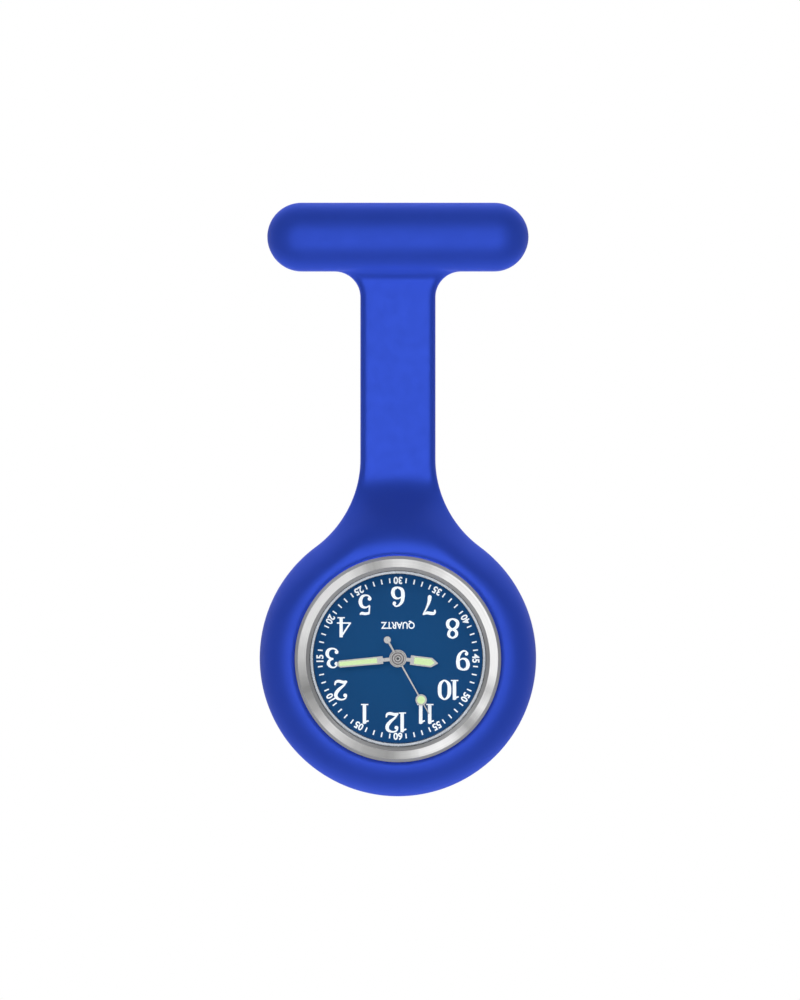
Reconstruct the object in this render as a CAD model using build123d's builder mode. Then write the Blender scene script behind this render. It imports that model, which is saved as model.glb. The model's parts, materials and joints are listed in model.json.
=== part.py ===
from build123d import *
import os
from math import atan2, cos, degrees, radians, sin, sqrt, tan

# Fob watch in a soft silicone holder, hanging from a brooch pin. Millimetres.
# +Z is up, the dial faces -Y and +X is to the right of someone facing it. The origin is the middle of
# the pin stem.
# A "height" is a distance in front of the pin stem, that is along -Y.

# ---------------------------------------------------------------- driving sizes: silicone holder
BAR_LENGTH = 37.5
BAR_WIDTH = 9.8
BAR_THICKNESS = 6.0
BAR_EDGE_RADIUS = 1.6
BAR_FILLET = 3.7  # outline fillet from the bar into the strap
BAR_STEP_RADIUS = 2.2  # front fillet from the bar down to the strap
STRAP_WIDTH = 10.8
STRAP_THICKNESS = 2.6
FLARE_RADIUS = 15.7  # outline fillet from the strap into the ring
RING_RADIUS = 19.8
RING_DROP = 60.4  # watch centre below the pin stem
RING_DEPTH = 8.6
RING_CREST_INSET = 4.2  # from the outer edge in to the highest line of the ring
RING_SIDE = 4.2  # height of the ring's outer edge above its back
RING_BACK_RADIUS = 1.2
NECK_RISE_LENGTH = 11.8  # run over which the strap climbs to the ring
NECK_RISE_INSET = 1.9  # where the climb ends, inside the ring's outer edge
BACK_HEIGHT = 2.0  # flat back of the silicone, in front of the pin stem
BACK_LIP = 1.2
BACK_LIP_RADIUS = 13.2
FRONT_LIP_DROP = 0.2
SILICONE_GAP = 0.05

# strap bend
BEND_DROP = 20.3
BEND_FORWARD = 100.0
BEND_SPARE = 0.3

# ---------------------------------------------------------------- driving sizes: brooch pin
PLATE_LENGTH = 31.0
PLATE_WIDTH = 5.2
PLATE_THICKNESS = 0.6
STEM_RADIUS = 0.45
STEM_FREE_LENGTH = 24.0
STEM_CATCH_RADIUS = 0.38
STEM_SHOULDER = 0.6
STEM_POINT = 1.6
TIP_REACH = 16.4
EYE_RADIUS = 0.95
EYE_HEIGHT = 1.0
HINGE_REACH = 13.4
HINGE_SHANK_RADIUS = 0.4
HINGE_HEAD_RADIUS = 0.7
HINGE_HEAD = 0.25
HINGE_RUNNING = 0.03
EAR_THICKNESS = 0.4
EAR_GAP = 0.05
EAR_RADIUS = 1.1
CATCH_START = 12.9
CATCH_LENGTH = 1.8
CATCH_OUTER = 1.6
CATCH_INNER = 1.15
CATCH_MOUTH = (-30.0, 75.0)  # opening of the catch, degrees from straight back
CATCH_FOOT = 1.8
LOCK_RUNNING = 0.03
LOCK_BORE = 0.5
LOCK_COLLAR = 0.3
LOCK_COLLAR_RADIUS = 1.45
LOCK_TAB_REACH = 2.6
LOCK_TAB_THICKNESS = 0.55
LOCK_TAB_ANGLE = 52.0

# ---------------------------------------------------------------- driving sizes: watch case
CASE_RADIUS = 15.4
CASE_BORE = 12.95
CASE_CHAMFER = 0.4
CASEBACK_RADIUS = 14.2
CASEBACK_THICKNESS = 0.8
CASEBACK_RIM = 0.25
CASEBACK_RIM_WALL = 0.6
CASEBACK_NOTCH = 2.4
MOVEMENT_GAP = 0.2
GASKET_SECTION = 0.22
GASKET_RING_RADIUS = 13.5
GASKET_GROOVE = 0.28
NECK_OUTER = 13.9
NECK_WALL = 0.78
NECK_HEIGHT = 1.5
SHELF_THICKNESS = 0.25
SHELF_LAP = 0.2  # how far the shelf reaches in under the crystal
CRYSTAL_RADIUS = 12.75
CRYSTAL_THICKNESS = 1.0
CRYSTAL_EDGE = 0.08
BEZEL_RADIUS = 14.68
BEZEL_LAP = 0.15  # how far the bezel reaches in over the crystal
BEZEL_SLOPE = 0.5  # width of the slope inside the brushed face
BEZEL_EDGE = 0.43  # width of the slope outside it
BEZEL_PROUD = 0.45
BEZEL_EDGE_DROP = 0.35
FIT_GAP = 0.03
DIAL_THICKNESS = 0.4
DIAL_PLAY = 0.1  # dial and its ring in the case bore
DIAL_RING_SLOPE = 0.3
DIAL_HOLE = 0.85
DIAL_RING_HEIGHT = 1.6
DIAL_FOOT_RADIUS = 0.35
DIAL_FOOT_LENGTH = 0.8
DIAL_FOOT_CIRCLE = 10.3
DIAL_FOOT_ANGLES = (52.0, 232.0)

# ---------------------------------------------------------------- driving sizes: hands
HAND_THICKNESS = 0.18
HAND_LIFT = 0.35  # hour hand above the dial
HAND_STEP = 0.45  # from one hand to the next
HOUR_HUB = 1.25
MINUTE_HUB = 1.07
SECOND_HUB = 0.55
SECOND_CAP = 0.15
HOUR_TIP = 5.8
MINUTE_TIP = 8.7
SECOND_TIP = 9.05
TIME_HOURS = 9.2325
TIME_MINUTES = 14.1
TIME_SECONDS = 55.1

# ---------------------------------------------------------------- driving sizes: crown and stem
STEM_DEPTH = 0.8  # winding stem's axis behind the dial
WIND_RADIUS = 0.45
WIND_SQUARE = 0.56
WIND_GROOVE_RADIUS = 0.25
WIND_GROOVE_WIDTH = 0.6
WIND_END = 5.95
CROWN_RADIUS = 1.9
CROWN_LENGTH = 1.8
CROWN_FLUTES = 24
CROWN_STANDOFF = 0.2
CROWN_RECESS = 1.45
CROWN_PULL = 0.9
TUBE_RADIUS = 0.8
TUBE_BORE = 0.5
TUBE_PROUD = 1.4
SEAL_SECTION = 0.2
POCKET_SPARE = 0.4

# ---------------------------------------------------------------- driving sizes: movement
MOVEMENT_RADIUS = 11.84
MOVEMENT_THICKNESS = 3.15
HOLDER_RADIUS = 12.85
HOLDER_GAP = 0.06
MAIN_THICKNESS = 1.05
TRAIN_SPACE = 1.4
BRIDGE_THICKNESS = 0.6
SKIRT_WALL = 0.84
SKIRT_DEPTH = 1.3
PIVOT_RUNNING = 0.03
PILLAR_RADIUS = 0.9
SCREW_HEAD = 0.8
SCREW_HEAD_HEIGHT = 0.25
SCREW_SHANK = 0.35
SCREW_SLOT = 0.2
MODULE_FINE = 0.08
MODULE = 0.1
MODULE_COARSE = 0.12
BATTERY_RADIUS = 3.4
BATTERY_HEIGHT = 2.6
BATTERY_PLACE = (5.4, -5.2)
PILLARS = [(5.9, 4.6), (-0.4, -4.6), (-5.6, -1.9)]
THIRD_BEARING = 20.0
DRIVE_BEARING = 150.0
ROTOR_BEARING = 130.0
LEVER_PIVOT = (-9.05, 2.9)
LEVER_PIN_PLACE = (-8.6, 0.5)
COIL_PLACE = (-1.2, 7.7)
COIL_LENGTH = 8.6
COIL_SECTION = (2.4, 1.9)
CORE_LENGTH = 11.4

# ---------------------------------------------------------------- worked-out places
WATCH_Z = -RING_DROP
STRAP_FRONT = BACK_HEIGHT + STRAP_THICKNESS
RING_FRONT = BACK_HEIGHT + RING_DEPTH
CREST_RADIUS = RING_RADIUS - RING_CREST_INSET
RING_EQUATOR = BACK_HEIGHT + RING_SIDE

CASEBACK_BACK = BACK_HEIGHT + BACK_LIP + SILICONE_GAP
CASE_BACK = CASEBACK_BACK + CASEBACK_THICKNESS
MOVEMENT_BACK = CASE_BACK + MOVEMENT_GAP
DIAL_BACK = MOVEMENT_BACK + MOVEMENT_THICKNESS
DIAL_FRONT = DIAL_BACK + DIAL_THICKNESS
SHELF_BACK = DIAL_FRONT + DIAL_RING_HEIGHT
DIAL_RADIUS = CASE_BORE - DIAL_PLAY
SHELF_BORE = CRYSTAL_RADIUS - SHELF_LAP
DIAL_OPENING = SHELF_BORE - DIAL_RING_SLOPE
BEZEL_BORE = CRYSTAL_RADIUS - BEZEL_LAP
BEZEL_FLAT = (BEZEL_BORE + BEZEL_SLOPE, BEZEL_RADIUS - BEZEL_EDGE)  # radii of the brushed face
CRYSTAL_BACK = SHELF_BACK + SHELF_THICKNESS
CRYSTAL_FRONT = CRYSTAL_BACK + CRYSTAL_THICKNESS
BEZEL_FRONT = CRYSTAL_FRONT + BEZEL_PROUD
NECK_FRONT = CRYSTAL_FRONT - SHELF_THICKNESS
SHOULDER = NECK_FRONT - NECK_HEIGHT
NECK_BORE = NECK_OUTER - NECK_WALL

HOUR_HEIGHT = DIAL_FRONT + HAND_LIFT
MINUTE_HEIGHT = HOUR_HEIGHT + HAND_STEP
SECOND_HEIGHT = MINUTE_HEIGHT + HAND_STEP

STEM_HEIGHT = DIAL_BACK - STEM_DEPTH
TUBE_END = CASE_RADIUS + TUBE_PROUD
CROWN_START = CASE_RADIUS + CROWN_STANDOFF
CROWN_END = CROWN_START + CROWN_LENGTH
POCKET_END = CROWN_END + CROWN_PULL + CROWN_STANDOFF

MAIN_BACK = DIAL_BACK - MAIN_THICKNESS
BRIDGE_FRONT = MAIN_BACK - TRAIN_SPACE
BRIDGE_BACK = BRIDGE_FRONT - BRIDGE_THICKNESS

WEB_HALF = STRAP_THICKNESS / 2 * tan(radians(BEND_FORWARD / 2)) + BEND_SPARE
WEB_TOP = -BEND_DROP + WEB_HALF
WEB_LOW = -BEND_DROP - WEB_HALF


# ---------------------------------------------------------------- shared planes and outlines
def front_plane(height, centre_z=0.0):
    """Plane facing the viewer: local x is +X, local y is +Z."""
    return Plane(origin=(0, -height, centre_z), x_dir=(1, 0, 0), z_dir=(0, -1, 0))


def watch_plane(height):
    return front_plane(height, WATCH_Z)


def stem_plane(reach):
    """Plane square to the winding stem, its normal pointing out of the case towards the crown."""
    return Plane(origin=(-reach, -STEM_HEIGHT, WATCH_Z), x_dir=(0, 0, 1), z_dir=(-1, 0, 0))


def catch_plane(x):
    """Plane square to the pin stem: local x is straight back from the silicone, local y is +Z."""
    return Plane(origin=(x, 0, 0), x_dir=(0, 1, 0), z_dir=(1, 0, 0))


# radius against height, for what is turned about the watch's axis
turning_plane = Plane(origin=(0, 0, WATCH_Z), x_dir=(1, 0, 0), z_dir=(0, 0, -1))
watch_axis = Axis((0, 0, WATCH_Z), (0, -1, 0))
# +Z against height, for the silicone's side view
side_plane = Plane(origin=(0, 0, 0), x_dir=(0, 0, 1), z_dir=(1, 0, 0))


def polar(radius, angle):
    return (radius * cos(radians(angle)), radius * sin(radians(angle)))


def beside(place, radius, angle):
    offset = polar(radius, angle)
    return (place[0] + offset[0], place[1] + offset[1])


def disc(height, thickness, radius, place=(0, 0), mode=Mode.ADD):
    """A round disc on the watch, from `height` forwards."""
    with BuildSketch(watch_plane(height)) as face:
        with Locations(place):
            Circle(radius)
    extrude(face.sketch, amount=thickness, mode=mode)


def turned(points, mode=Mode.ADD):
    """A ring turned about the watch's axis from (radius, height) points."""
    with BuildSketch(turning_plane) as section:
        with BuildLine():
            Polyline(*points, close=True)
        make_face()
    revolve(section.sketch, axis=watch_axis, mode=mode)


# straight-sided teeth: depths in modules, half widths as shares of the pitch
DEDENDUM = 1.15
ADDENDUM = 0.9
TOOTH_FOOT = 0.27
TOOTH_CREST = 0.11


def toothed(plane, thickness, teeth, module, phase=0.0, place=(0, 0)):
    """A straight-toothed wheel, one tooth centred at `phase` degrees."""
    pitch_radius = teeth * module / 2
    root, tip = pitch_radius - DEDENDUM * module, pitch_radius + ADDENDUM * module
    pitch = 360 / teeth
    # half widths of the tooth as shares of the pitch, at its root and its tip
    shape = ((root, -TOOTH_FOOT), (tip, -TOOTH_CREST), (tip, TOOTH_CREST), (root, TOOTH_FOOT))
    points = [
        beside(place, radius, phase + pitch * (tooth + share))
        for tooth in range(teeth)
        for radius, share in shape
    ]
    with BuildSketch(plane) as wheel:
        with BuildLine():
            Polyline(*points, close=True)
        make_face()
    extrude(wheel.sketch, amount=thickness)


def meshed_phase(teeth, partner_teeth, partner_phase, bearing):
    """Tooth angle of a wheel that lies at `bearing` from its partner and is in mesh with it."""
    lead = (bearing - partner_phase) * partner_teeth / 360 % 1
    return bearing + 180 + (lead + 0.5) * 360 / teeth


def dial_angle(turn):
    """Angle in the watch plane of a share of a turn, clockwise from 12, which hangs lowest."""
    return -90 - 360 * turn


# ---------------------------------------------------------------- silicone holder: brooch end
with BuildPart() as brooch_bar:
    with BuildSketch(front_plane(BACK_HEIGHT)):
        SlotOverall(BAR_LENGTH, BAR_WIDTH)
    extrude(amount=BAR_THICKNESS)
    fillet(brooch_bar.faces().sort_by(Axis.Y)[0].edges(), BAR_EDGE_RADIUS)

with BuildPart() as cover_brooch_end:
    fillet_foot = -BAR_WIDTH / 2 - BAR_FILLET
    fillet_side = STRAP_WIDTH / 2 + BAR_FILLET
    with BuildSketch(front_plane(BACK_HEIGHT)):
        with BuildLine():
            Polyline((0, WEB_TOP), (STRAP_WIDTH / 2, WEB_TOP), (STRAP_WIDTH / 2, fillet_foot))
            CenterArc((fillet_side, fillet_foot), BAR_FILLET, 180, -90)
            Polyline((fillet_side, -BAR_WIDTH / 2), (fillet_side, 0), (0, 0))
            mirror(about=Plane.YZ)
        make_face()
    extrude(amount=BAR_THICKNESS)
    # side view: the strap's thickness, stepping up to the bar through a fillet
    step_foot = -BAR_WIDTH / 2 - BAR_STEP_RADIUS
    step_top = STRAP_FRONT + BAR_STEP_RADIUS
    with BuildSketch(side_plane):
        with BuildLine():
            Polyline((0, step_top), (0, BACK_HEIGHT), (WEB_TOP, BACK_HEIGHT),
                     (WEB_TOP, STRAP_FRONT), (step_foot, STRAP_FRONT))
            CenterArc((step_foot, step_top), BAR_STEP_RADIUS, -90, 90)
            Line((-BAR_WIDTH / 2, step_top), (0, step_top))
        make_face()
    extrude(amount=BAR_LENGTH, both=True, mode=Mode.INTERSECT)
    add(brooch_bar.part)
    # seat of the brooch plate
    with BuildSketch(front_plane(BACK_HEIGHT)):
        SlotOverall(PLATE_LENGTH, PLATE_WIDTH)
    extrude(amount=PLATE_THICKNESS, mode=Mode.SUBTRACT)
cover_brooch_end.part.label = "cover_brooch_end"

# ---------------------------------------------------------------- silicone holder: bending web
with BuildPart() as cover_flex_web:
    with BuildSketch(front_plane(BACK_HEIGHT, -BEND_DROP)):
        Rectangle(STRAP_WIDTH, 2 * WEB_HALF)
    extrude(amount=STRAP_THICKNESS)
cover_flex_web.part.label = "cover_flex_web"

# ---------------------------------------------------------------- silicone holder: watch ring
with BuildPart() as ring_body:
    with BuildSketch(turning_plane):
        with BuildLine():
            Polyline((CREST_RADIUS, RING_FRONT), (0, RING_FRONT), (0, BACK_HEIGHT),
                     (RING_RADIUS - RING_BACK_RADIUS, BACK_HEIGHT))
            CenterArc((RING_RADIUS - RING_BACK_RADIUS, BACK_HEIGHT + RING_BACK_RADIUS),
                      RING_BACK_RADIUS, -90, 90)
            Line((RING_RADIUS, BACK_HEIGHT + RING_BACK_RADIUS), (RING_RADIUS, RING_EQUATOR))
            EllipticalCenterArc((CREST_RADIUS, RING_EQUATOR), RING_CREST_INSET,
                                RING_FRONT - RING_EQUATOR, start_angle=0, arc_size=90)
        make_face()
    revolve(axis=watch_axis)

with BuildPart() as cover_watch_ring:
    # front outline of the neck, flaring into the ring's circle
    flare_side = STRAP_WIDTH / 2 + FLARE_RADIUS
    flare_top = WATCH_Z + sqrt((RING_RADIUS + FLARE_RADIUS) ** 2 - flare_side**2)
    flare_turn = degrees(atan2(flare_top - WATCH_Z, flare_side))
    with BuildSketch(front_plane(BACK_HEIGHT)):
        with BuildLine():
            Polyline((0, WEB_LOW), (STRAP_WIDTH / 2, WEB_LOW), (STRAP_WIDTH / 2, flare_top))
            flare = CenterArc((flare_side, flare_top), FLARE_RADIUS, 180, flare_turn)
            Line(flare @ 1, (0, WATCH_Z))
            mirror(about=Plane.YZ)
        make_face()
    extrude(amount=RING_DEPTH)
    # side view: the strap's thickness, then a hollow climb on to the ring
    rise_end = WATCH_Z + RING_RADIUS - NECK_RISE_INSET
    rise_start = rise_end + NECK_RISE_LENGTH
    rise_share = (RING_CREST_INSET - NECK_RISE_INSET) / RING_CREST_INSET
    rise_height = RING_EQUATOR + (RING_FRONT - RING_EQUATOR) * sqrt(1 - rise_share**2)
    with BuildSketch(side_plane):
        with BuildLine():
            climb = TangentArc((rise_start, STRAP_FRONT), (rise_end, rise_height), tangent=(-1, 0))
            Polyline(climb @ 1, (WATCH_Z, rise_height), (WATCH_Z, BACK_HEIGHT),
                     (WEB_LOW, BACK_HEIGHT), (WEB_LOW, STRAP_FRONT), climb @ 0)
        make_face()
    extrude(amount=RING_RADIUS, both=True, mode=Mode.INTERSECT)
    add(ring_body.part)
    # seat of the case: back opening, caseback, case and bezel, each clear by the silicone gap
    case_seat = CASE_RADIUS + SILICONE_GAP
    caseback_seat = CASEBACK_RADIUS + SILICONE_GAP
    bezel_seat = BEZEL_RADIUS + SILICONE_GAP
    turned([(0, 0), (BACK_LIP_RADIUS, 0), (BACK_LIP_RADIUS, BACK_HEIGHT + BACK_LIP),
            (caseback_seat, BACK_HEIGHT + BACK_LIP), (caseback_seat, CASE_BACK - SILICONE_GAP),
            (case_seat, CASE_BACK - SILICONE_GAP), (case_seat, SHOULDER + SILICONE_GAP),
            (bezel_seat, SHOULDER + SILICONE_GAP), (bezel_seat, RING_FRONT - FRONT_LIP_DROP),
            (CREST_RADIUS - FRONT_LIP_DROP, RING_FRONT), (CREST_RADIUS - FRONT_LIP_DROP, BEZEL_FRONT),
            (0, BEZEL_FRONT)], mode=Mode.SUBTRACT)
    # pocket that the crown turns and pulls in, open to the back
    pocket_half = CROWN_RADIUS + POCKET_SPARE
    with BuildSketch(watch_plane(0)):
        with Locations((-(CASE_BORE + POCKET_END) / 2, 0)):
            Rectangle(POCKET_END - CASE_BORE, 2 * pocket_half)
    extrude(amount=STEM_HEIGHT + pocket_half, mode=Mode.SUBTRACT)
cover_watch_ring.part.label = "cover_watch_ring"

# ---------------------------------------------------------------- brooch: plate with its hinge ears
ear_low = EYE_HEIGHT / 2 + EAR_GAP
with BuildPart() as brooch_plate:
    with BuildSketch(front_plane(BACK_HEIGHT)):
        SlotOverall(PLATE_LENGTH, PLATE_WIDTH)
    extrude(amount=PLATE_THICKNESS)
    for side in (1, -1):
        ear_plane = Plane(origin=(-HINGE_REACH, 0, side * ear_low), x_dir=(1, 0, 0), z_dir=(0, 0, side))
        with BuildSketch(ear_plane):
            Circle(EAR_RADIUS)
            with Locations((0, -side * (BACK_HEIGHT + PLATE_THICKNESS) / 2)):
                Rectangle(2 * EAR_RADIUS, BACK_HEIGHT + PLATE_THICKNESS)
            Circle(HINGE_SHANK_RADIUS, mode=Mode.SUBTRACT)
        extrude(amount=EAR_THICKNESS)
brooch_plate.part.label = "brooch_plate"

# ---------------------------------------------------------------- brooch: hinge rivet
with BuildPart() as hinge_rivet:
    rivet_half = ear_low + EAR_THICKNESS
    with BuildSketch(Plane(origin=(-HINGE_REACH, 0, 0))):
        Circle(HINGE_SHANK_RADIUS)
    extrude(amount=rivet_half, both=True)
    for side in (1, -1):
        head_plane = Plane(origin=(-HINGE_REACH, 0, side * rivet_half), z_dir=(0, 0, side))
        with BuildSketch(head_plane):
            Circle(HINGE_HEAD_RADIUS)
        extrude(amount=HINGE_HEAD)
hinge_rivet.part.label = "hinge_rivet"

# ---------------------------------------------------------------- brooch: pin stem
with BuildPart() as pin_stem:
    # wire turned about X: a root tapering out of the hinge eye, full size along the free length, thinner
    # through the catch, then the point
    free_end = STEM_FREE_LENGTH / 2
    with BuildSketch(Plane.XY):
        with BuildLine():
            Polyline((-HINGE_REACH, 0), (-HINGE_REACH, STEM_CATCH_RADIUS), (-free_end, STEM_RADIUS),
                     (free_end, STEM_RADIUS), (free_end + STEM_SHOULDER, STEM_CATCH_RADIUS),
                     (TIP_REACH - STEM_POINT, STEM_CATCH_RADIUS), (TIP_REACH, 0), close=True)
        make_face()
    revolve(axis=Axis.X)
    with BuildSketch(Plane(origin=(-HINGE_REACH, 0, 0))):
        Circle(EYE_RADIUS)
    extrude(amount=EYE_HEIGHT / 2, both=True)
    with BuildSketch(Plane(origin=(-HINGE_REACH, 0, 0))):
        Circle(HINGE_SHANK_RADIUS + HINGE_RUNNING)
    extrude(amount=EYE_HEIGHT, both=True, mode=Mode.SUBTRACT)
pin_stem.part.label = "pin_stem"

# ---------------------------------------------------------------- brooch: catch
with BuildPart() as catch_hook:
    with BuildSketch(catch_plane(CATCH_START)):
        Circle(CATCH_OUTER)
        with Locations((-(CATCH_INNER + BACK_HEIGHT) / 2, 0)):
            Rectangle(BACK_HEIGHT - CATCH_INNER, CATCH_FOOT)
        Circle(CATCH_INNER, mode=Mode.SUBTRACT)
        # mouth, cut as a wedge from the stem's axis
        mouth_reach = 3 * CATCH_OUTER
        mouth = [polar(mouth_reach, CATCH_MOUTH[0] + share * (CATCH_MOUTH[1] - CATCH_MOUTH[0]))
                 for share in (0, 0.5, 1)]
        with BuildLine():
            Polyline((0, 0), *mouth, close=True)
        make_face(mode=Mode.SUBTRACT)
    extrude(amount=CATCH_LENGTH)
catch_hook.part.label = "catch_hook"

# ---------------------------------------------------------------- brooch: turning lock inside the catch
with BuildPart() as catch_lock:
    barrel = CATCH_INNER - LOCK_RUNNING
    with BuildSketch(catch_plane(CATCH_START - LOCK_RUNNING)):
        Circle(barrel)
    extrude(amount=CATCH_LENGTH + 2 * LOCK_RUNNING)
    for start in (CATCH_START - LOCK_RUNNING - LOCK_COLLAR, CATCH_START + CATCH_LENGTH + LOCK_RUNNING):
        with BuildSketch(catch_plane(start)):
            Circle(LOCK_COLLAR_RADIUS)
        extrude(amount=LOCK_COLLAR)
    # thumb tab, standing out through the mouth
    tab_margin = 2 * LOCK_COLLAR
    tab_middle = beside((0, 0), (barrel + LOCK_TAB_REACH) / 2 - LOCK_COLLAR, LOCK_TAB_ANGLE)
    with BuildSketch(catch_plane(CATCH_START + tab_margin / 2)):
        with Locations(Location((*tab_middle, 0), (0, 0, LOCK_TAB_ANGLE))):
            Rectangle(LOCK_TAB_REACH - barrel + 2 * LOCK_COLLAR, LOCK_TAB_THICKNESS)
    extrude(amount=CATCH_LENGTH - tab_margin)
    # bore for the stem, and the slot that lets it in from the back
    lock_start = CATCH_START - LOCK_RUNNING - LOCK_COLLAR
    lock_length = CATCH_LENGTH + 2 * (LOCK_RUNNING + LOCK_COLLAR)
    with BuildSketch(catch_plane(lock_start)):
        Circle(LOCK_BORE)
        with Locations((LOCK_COLLAR_RADIUS / 2, 0)):
            Rectangle(LOCK_COLLAR_RADIUS, 2 * LOCK_BORE)
    extrude(amount=lock_length, mode=Mode.SUBTRACT)
catch_lock.part.label = "catch_lock"

# ---------------------------------------------------------------- case: body
groove = (GASKET_RING_RADIUS - GASKET_GROOVE, GASKET_RING_RADIUS + GASKET_GROOVE)
groove_floor = CASE_BACK + 2 * GASKET_SECTION
with BuildPart() as case_body:
    turned([(CASE_BORE, CASE_BACK), (groove[0], CASE_BACK), (groove[0], groove_floor),
            (groove[1], groove_floor), (groove[1], CASE_BACK),
            (CASE_RADIUS - CASE_CHAMFER, CASE_BACK), (CASE_RADIUS, CASE_BACK + CASE_CHAMFER),
            (CASE_RADIUS, SHOULDER), (NECK_OUTER, SHOULDER), (NECK_OUTER, NECK_FRONT),
            (NECK_BORE, NECK_FRONT), (NECK_BORE, CRYSTAL_BACK), (SHELF_BORE, CRYSTAL_BACK),
            (SHELF_BORE, SHELF_BACK), (CASE_BORE, SHELF_BACK)])
    with BuildSketch(stem_plane(0)):
        Circle(TUBE_RADIUS)
    extrude(amount=CASE_RADIUS + CROWN_LENGTH, mode=Mode.SUBTRACT)
case_body.part.label = "case_body"

# ---------------------------------------------------------------- case: bezel
with BuildPart() as bezel:
    lip_back = CRYSTAL_FRONT + FIT_GAP
    neck_clear = NECK_FRONT + FIT_GAP
    turned([(NECK_OUTER, SHOULDER), (BEZEL_RADIUS, SHOULDER),
            (BEZEL_RADIUS, BEZEL_FRONT - BEZEL_EDGE_DROP), (BEZEL_FLAT[1], BEZEL_FRONT),
            (BEZEL_FLAT[0], BEZEL_FRONT), (BEZEL_BORE, lip_back + FIT_GAP), (BEZEL_BORE, lip_back),
            (NECK_BORE + FIT_GAP, lip_back), (NECK_BORE + FIT_GAP, neck_clear),
            (NECK_OUTER, neck_clear)])
bezel.part.label = "bezel"

# ---------------------------------------------------------------- case: crystal
with BuildPart() as crystal:
    disc(CRYSTAL_BACK, CRYSTAL_THICKNESS, CRYSTAL_RADIUS)
    chamfer(crystal.faces().sort_by(Axis.Y)[0].edges(), CRYSTAL_EDGE)
crystal.part.label = "crystal"

# ---------------------------------------------------------------- case: crystal gasket
with BuildPart() as crystal_gasket:
    gasket_front = CRYSTAL_FRONT - CRYSTAL_EDGE
    turned([(CRYSTAL_RADIUS, CRYSTAL_BACK), (NECK_BORE, CRYSTAL_BACK),
            (NECK_BORE, gasket_front), (CRYSTAL_RADIUS, gasket_front)])
crystal_gasket.part.label = "crystal_gasket"

# ---------------------------------------------------------------- case: dial ring
with BuildPart() as dial_ring:
    turned([(DIAL_OPENING, DIAL_FRONT), (DIAL_RADIUS, DIAL_FRONT),
            (DIAL_RADIUS, SHELF_BACK), (SHELF_BORE, SHELF_BACK)])
dial_ring.part.label = "dial_ring"

# ---------------------------------------------------------------- case: caseback
with BuildPart() as caseback:
    rim_outer = CASE_BORE - SILICONE_GAP
    rim_front = CASE_BACK + CASEBACK_RIM
    disc(CASEBACK_BACK, CASEBACK_THICKNESS, CASEBACK_RADIUS)
    chamfer(caseback.faces().sort_by(Axis.Y)[-1].edges(), CASEBACK_THICKNESS / 4)
    turned([(rim_outer - CASEBACK_RIM_WALL, CASE_BACK), (rim_outer, CASE_BACK),
            (rim_outer, rim_front), (rim_outer - CASEBACK_RIM_WALL, rim_front)])
    # notch for the opening knife
    with BuildSketch(watch_plane(CASEBACK_BACK)):
        with Locations((0, CASEBACK_RADIUS)):
            Rectangle(CASEBACK_NOTCH, CASEBACK_THICKNESS)
    extrude(amount=CASEBACK_THICKNESS / 2, mode=Mode.SUBTRACT)
caseback.part.label = "caseback"

# ---------------------------------------------------------------- case: caseback gasket
with BuildPart() as caseback_gasket:
    with BuildSketch(turning_plane):
        with Locations((GASKET_RING_RADIUS, CASE_BACK + GASKET_SECTION)):
            Circle(GASKET_SECTION)
    revolve(axis=watch_axis)
caseback_gasket.part.label = "caseback_gasket"

# ---------------------------------------------------------------- case: crown tube
with BuildPart() as crown_tube:
    with BuildSketch(stem_plane(CASE_BORE)):
        Circle(TUBE_RADIUS)
        Circle(TUBE_BORE, mode=Mode.SUBTRACT)
    extrude(amount=TUBE_END - CASE_BORE)
crown_tube.part.label = "crown_tube"

# ---------------------------------------------------------------- crown
seal_radius = TUBE_RADIUS + SEAL_SECTION + PIVOT_RUNNING
with BuildPart() as crown:
    toothed(stem_plane(CROWN_START), CROWN_LENGTH, CROWN_FLUTES, 2 * CROWN_RADIUS / (CROWN_FLUTES + 2))
    with BuildSketch(stem_plane(CROWN_START)):
        Circle(CROWN_RADIUS)
    extrude(amount=CROWN_LENGTH, mode=Mode.INTERSECT)
    with BuildSketch(stem_plane(CROWN_START)):
        Circle(seal_radius + SEAL_SECTION)
    extrude(amount=CROWN_RECESS, mode=Mode.SUBTRACT)
    with BuildSketch(stem_plane(CROWN_START)):
        Circle(WIND_RADIUS)
    extrude(amount=CROWN_LENGTH - CROWN_STANDOFF, mode=Mode.SUBTRACT)
crown.part.label = "crown"

# ---------------------------------------------------------------- crown seal
with BuildPart() as crown_seal:
    # an O-ring in the crown's recess, running on the tube
    seal_place = (-(CROWN_START + SEAL_SECTION + PIVOT_RUNNING), seal_radius)
    with BuildSketch(Plane(origin=(0, -STEM_HEIGHT, WATCH_Z), x_dir=(1, 0, 0), z_dir=(0, -1, 0))):
        with Locations(seal_place):
            Circle(SEAL_SECTION)
    revolve(axis=Axis((0, -STEM_HEIGHT, WATCH_Z), (1, 0, 0)))
crown_seal.part.label = "crown_seal"

# ---------------------------------------------------------------- winding stem
groove_reach = -LEVER_PIN_PLACE[0]
square_start = groove_reach - WIND_GROOVE_WIDTH
with BuildPart() as winding_stem:
    with BuildSketch(stem_plane(square_start)):
        Circle(WIND_RADIUS)
    extrude(amount=CROWN_START + CROWN_LENGTH - CROWN_STANDOFF - square_start)
    with BuildSketch(stem_plane(WIND_END)):
        Rectangle(WIND_SQUARE, WIND_SQUARE)
    extrude(amount=square_start - WIND_END)
    # groove that the setting lever's pin rides in
    with BuildSketch(stem_plane(groove_reach - WIND_GROOVE_WIDTH / 2)):
        Circle(2 * WIND_RADIUS)
        Circle(WIND_GROOVE_RADIUS, mode=Mode.SUBTRACT)
    extrude(amount=WIND_GROOVE_WIDTH, mode=Mode.SUBTRACT)
winding_stem.part.label = "winding_stem"

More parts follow.
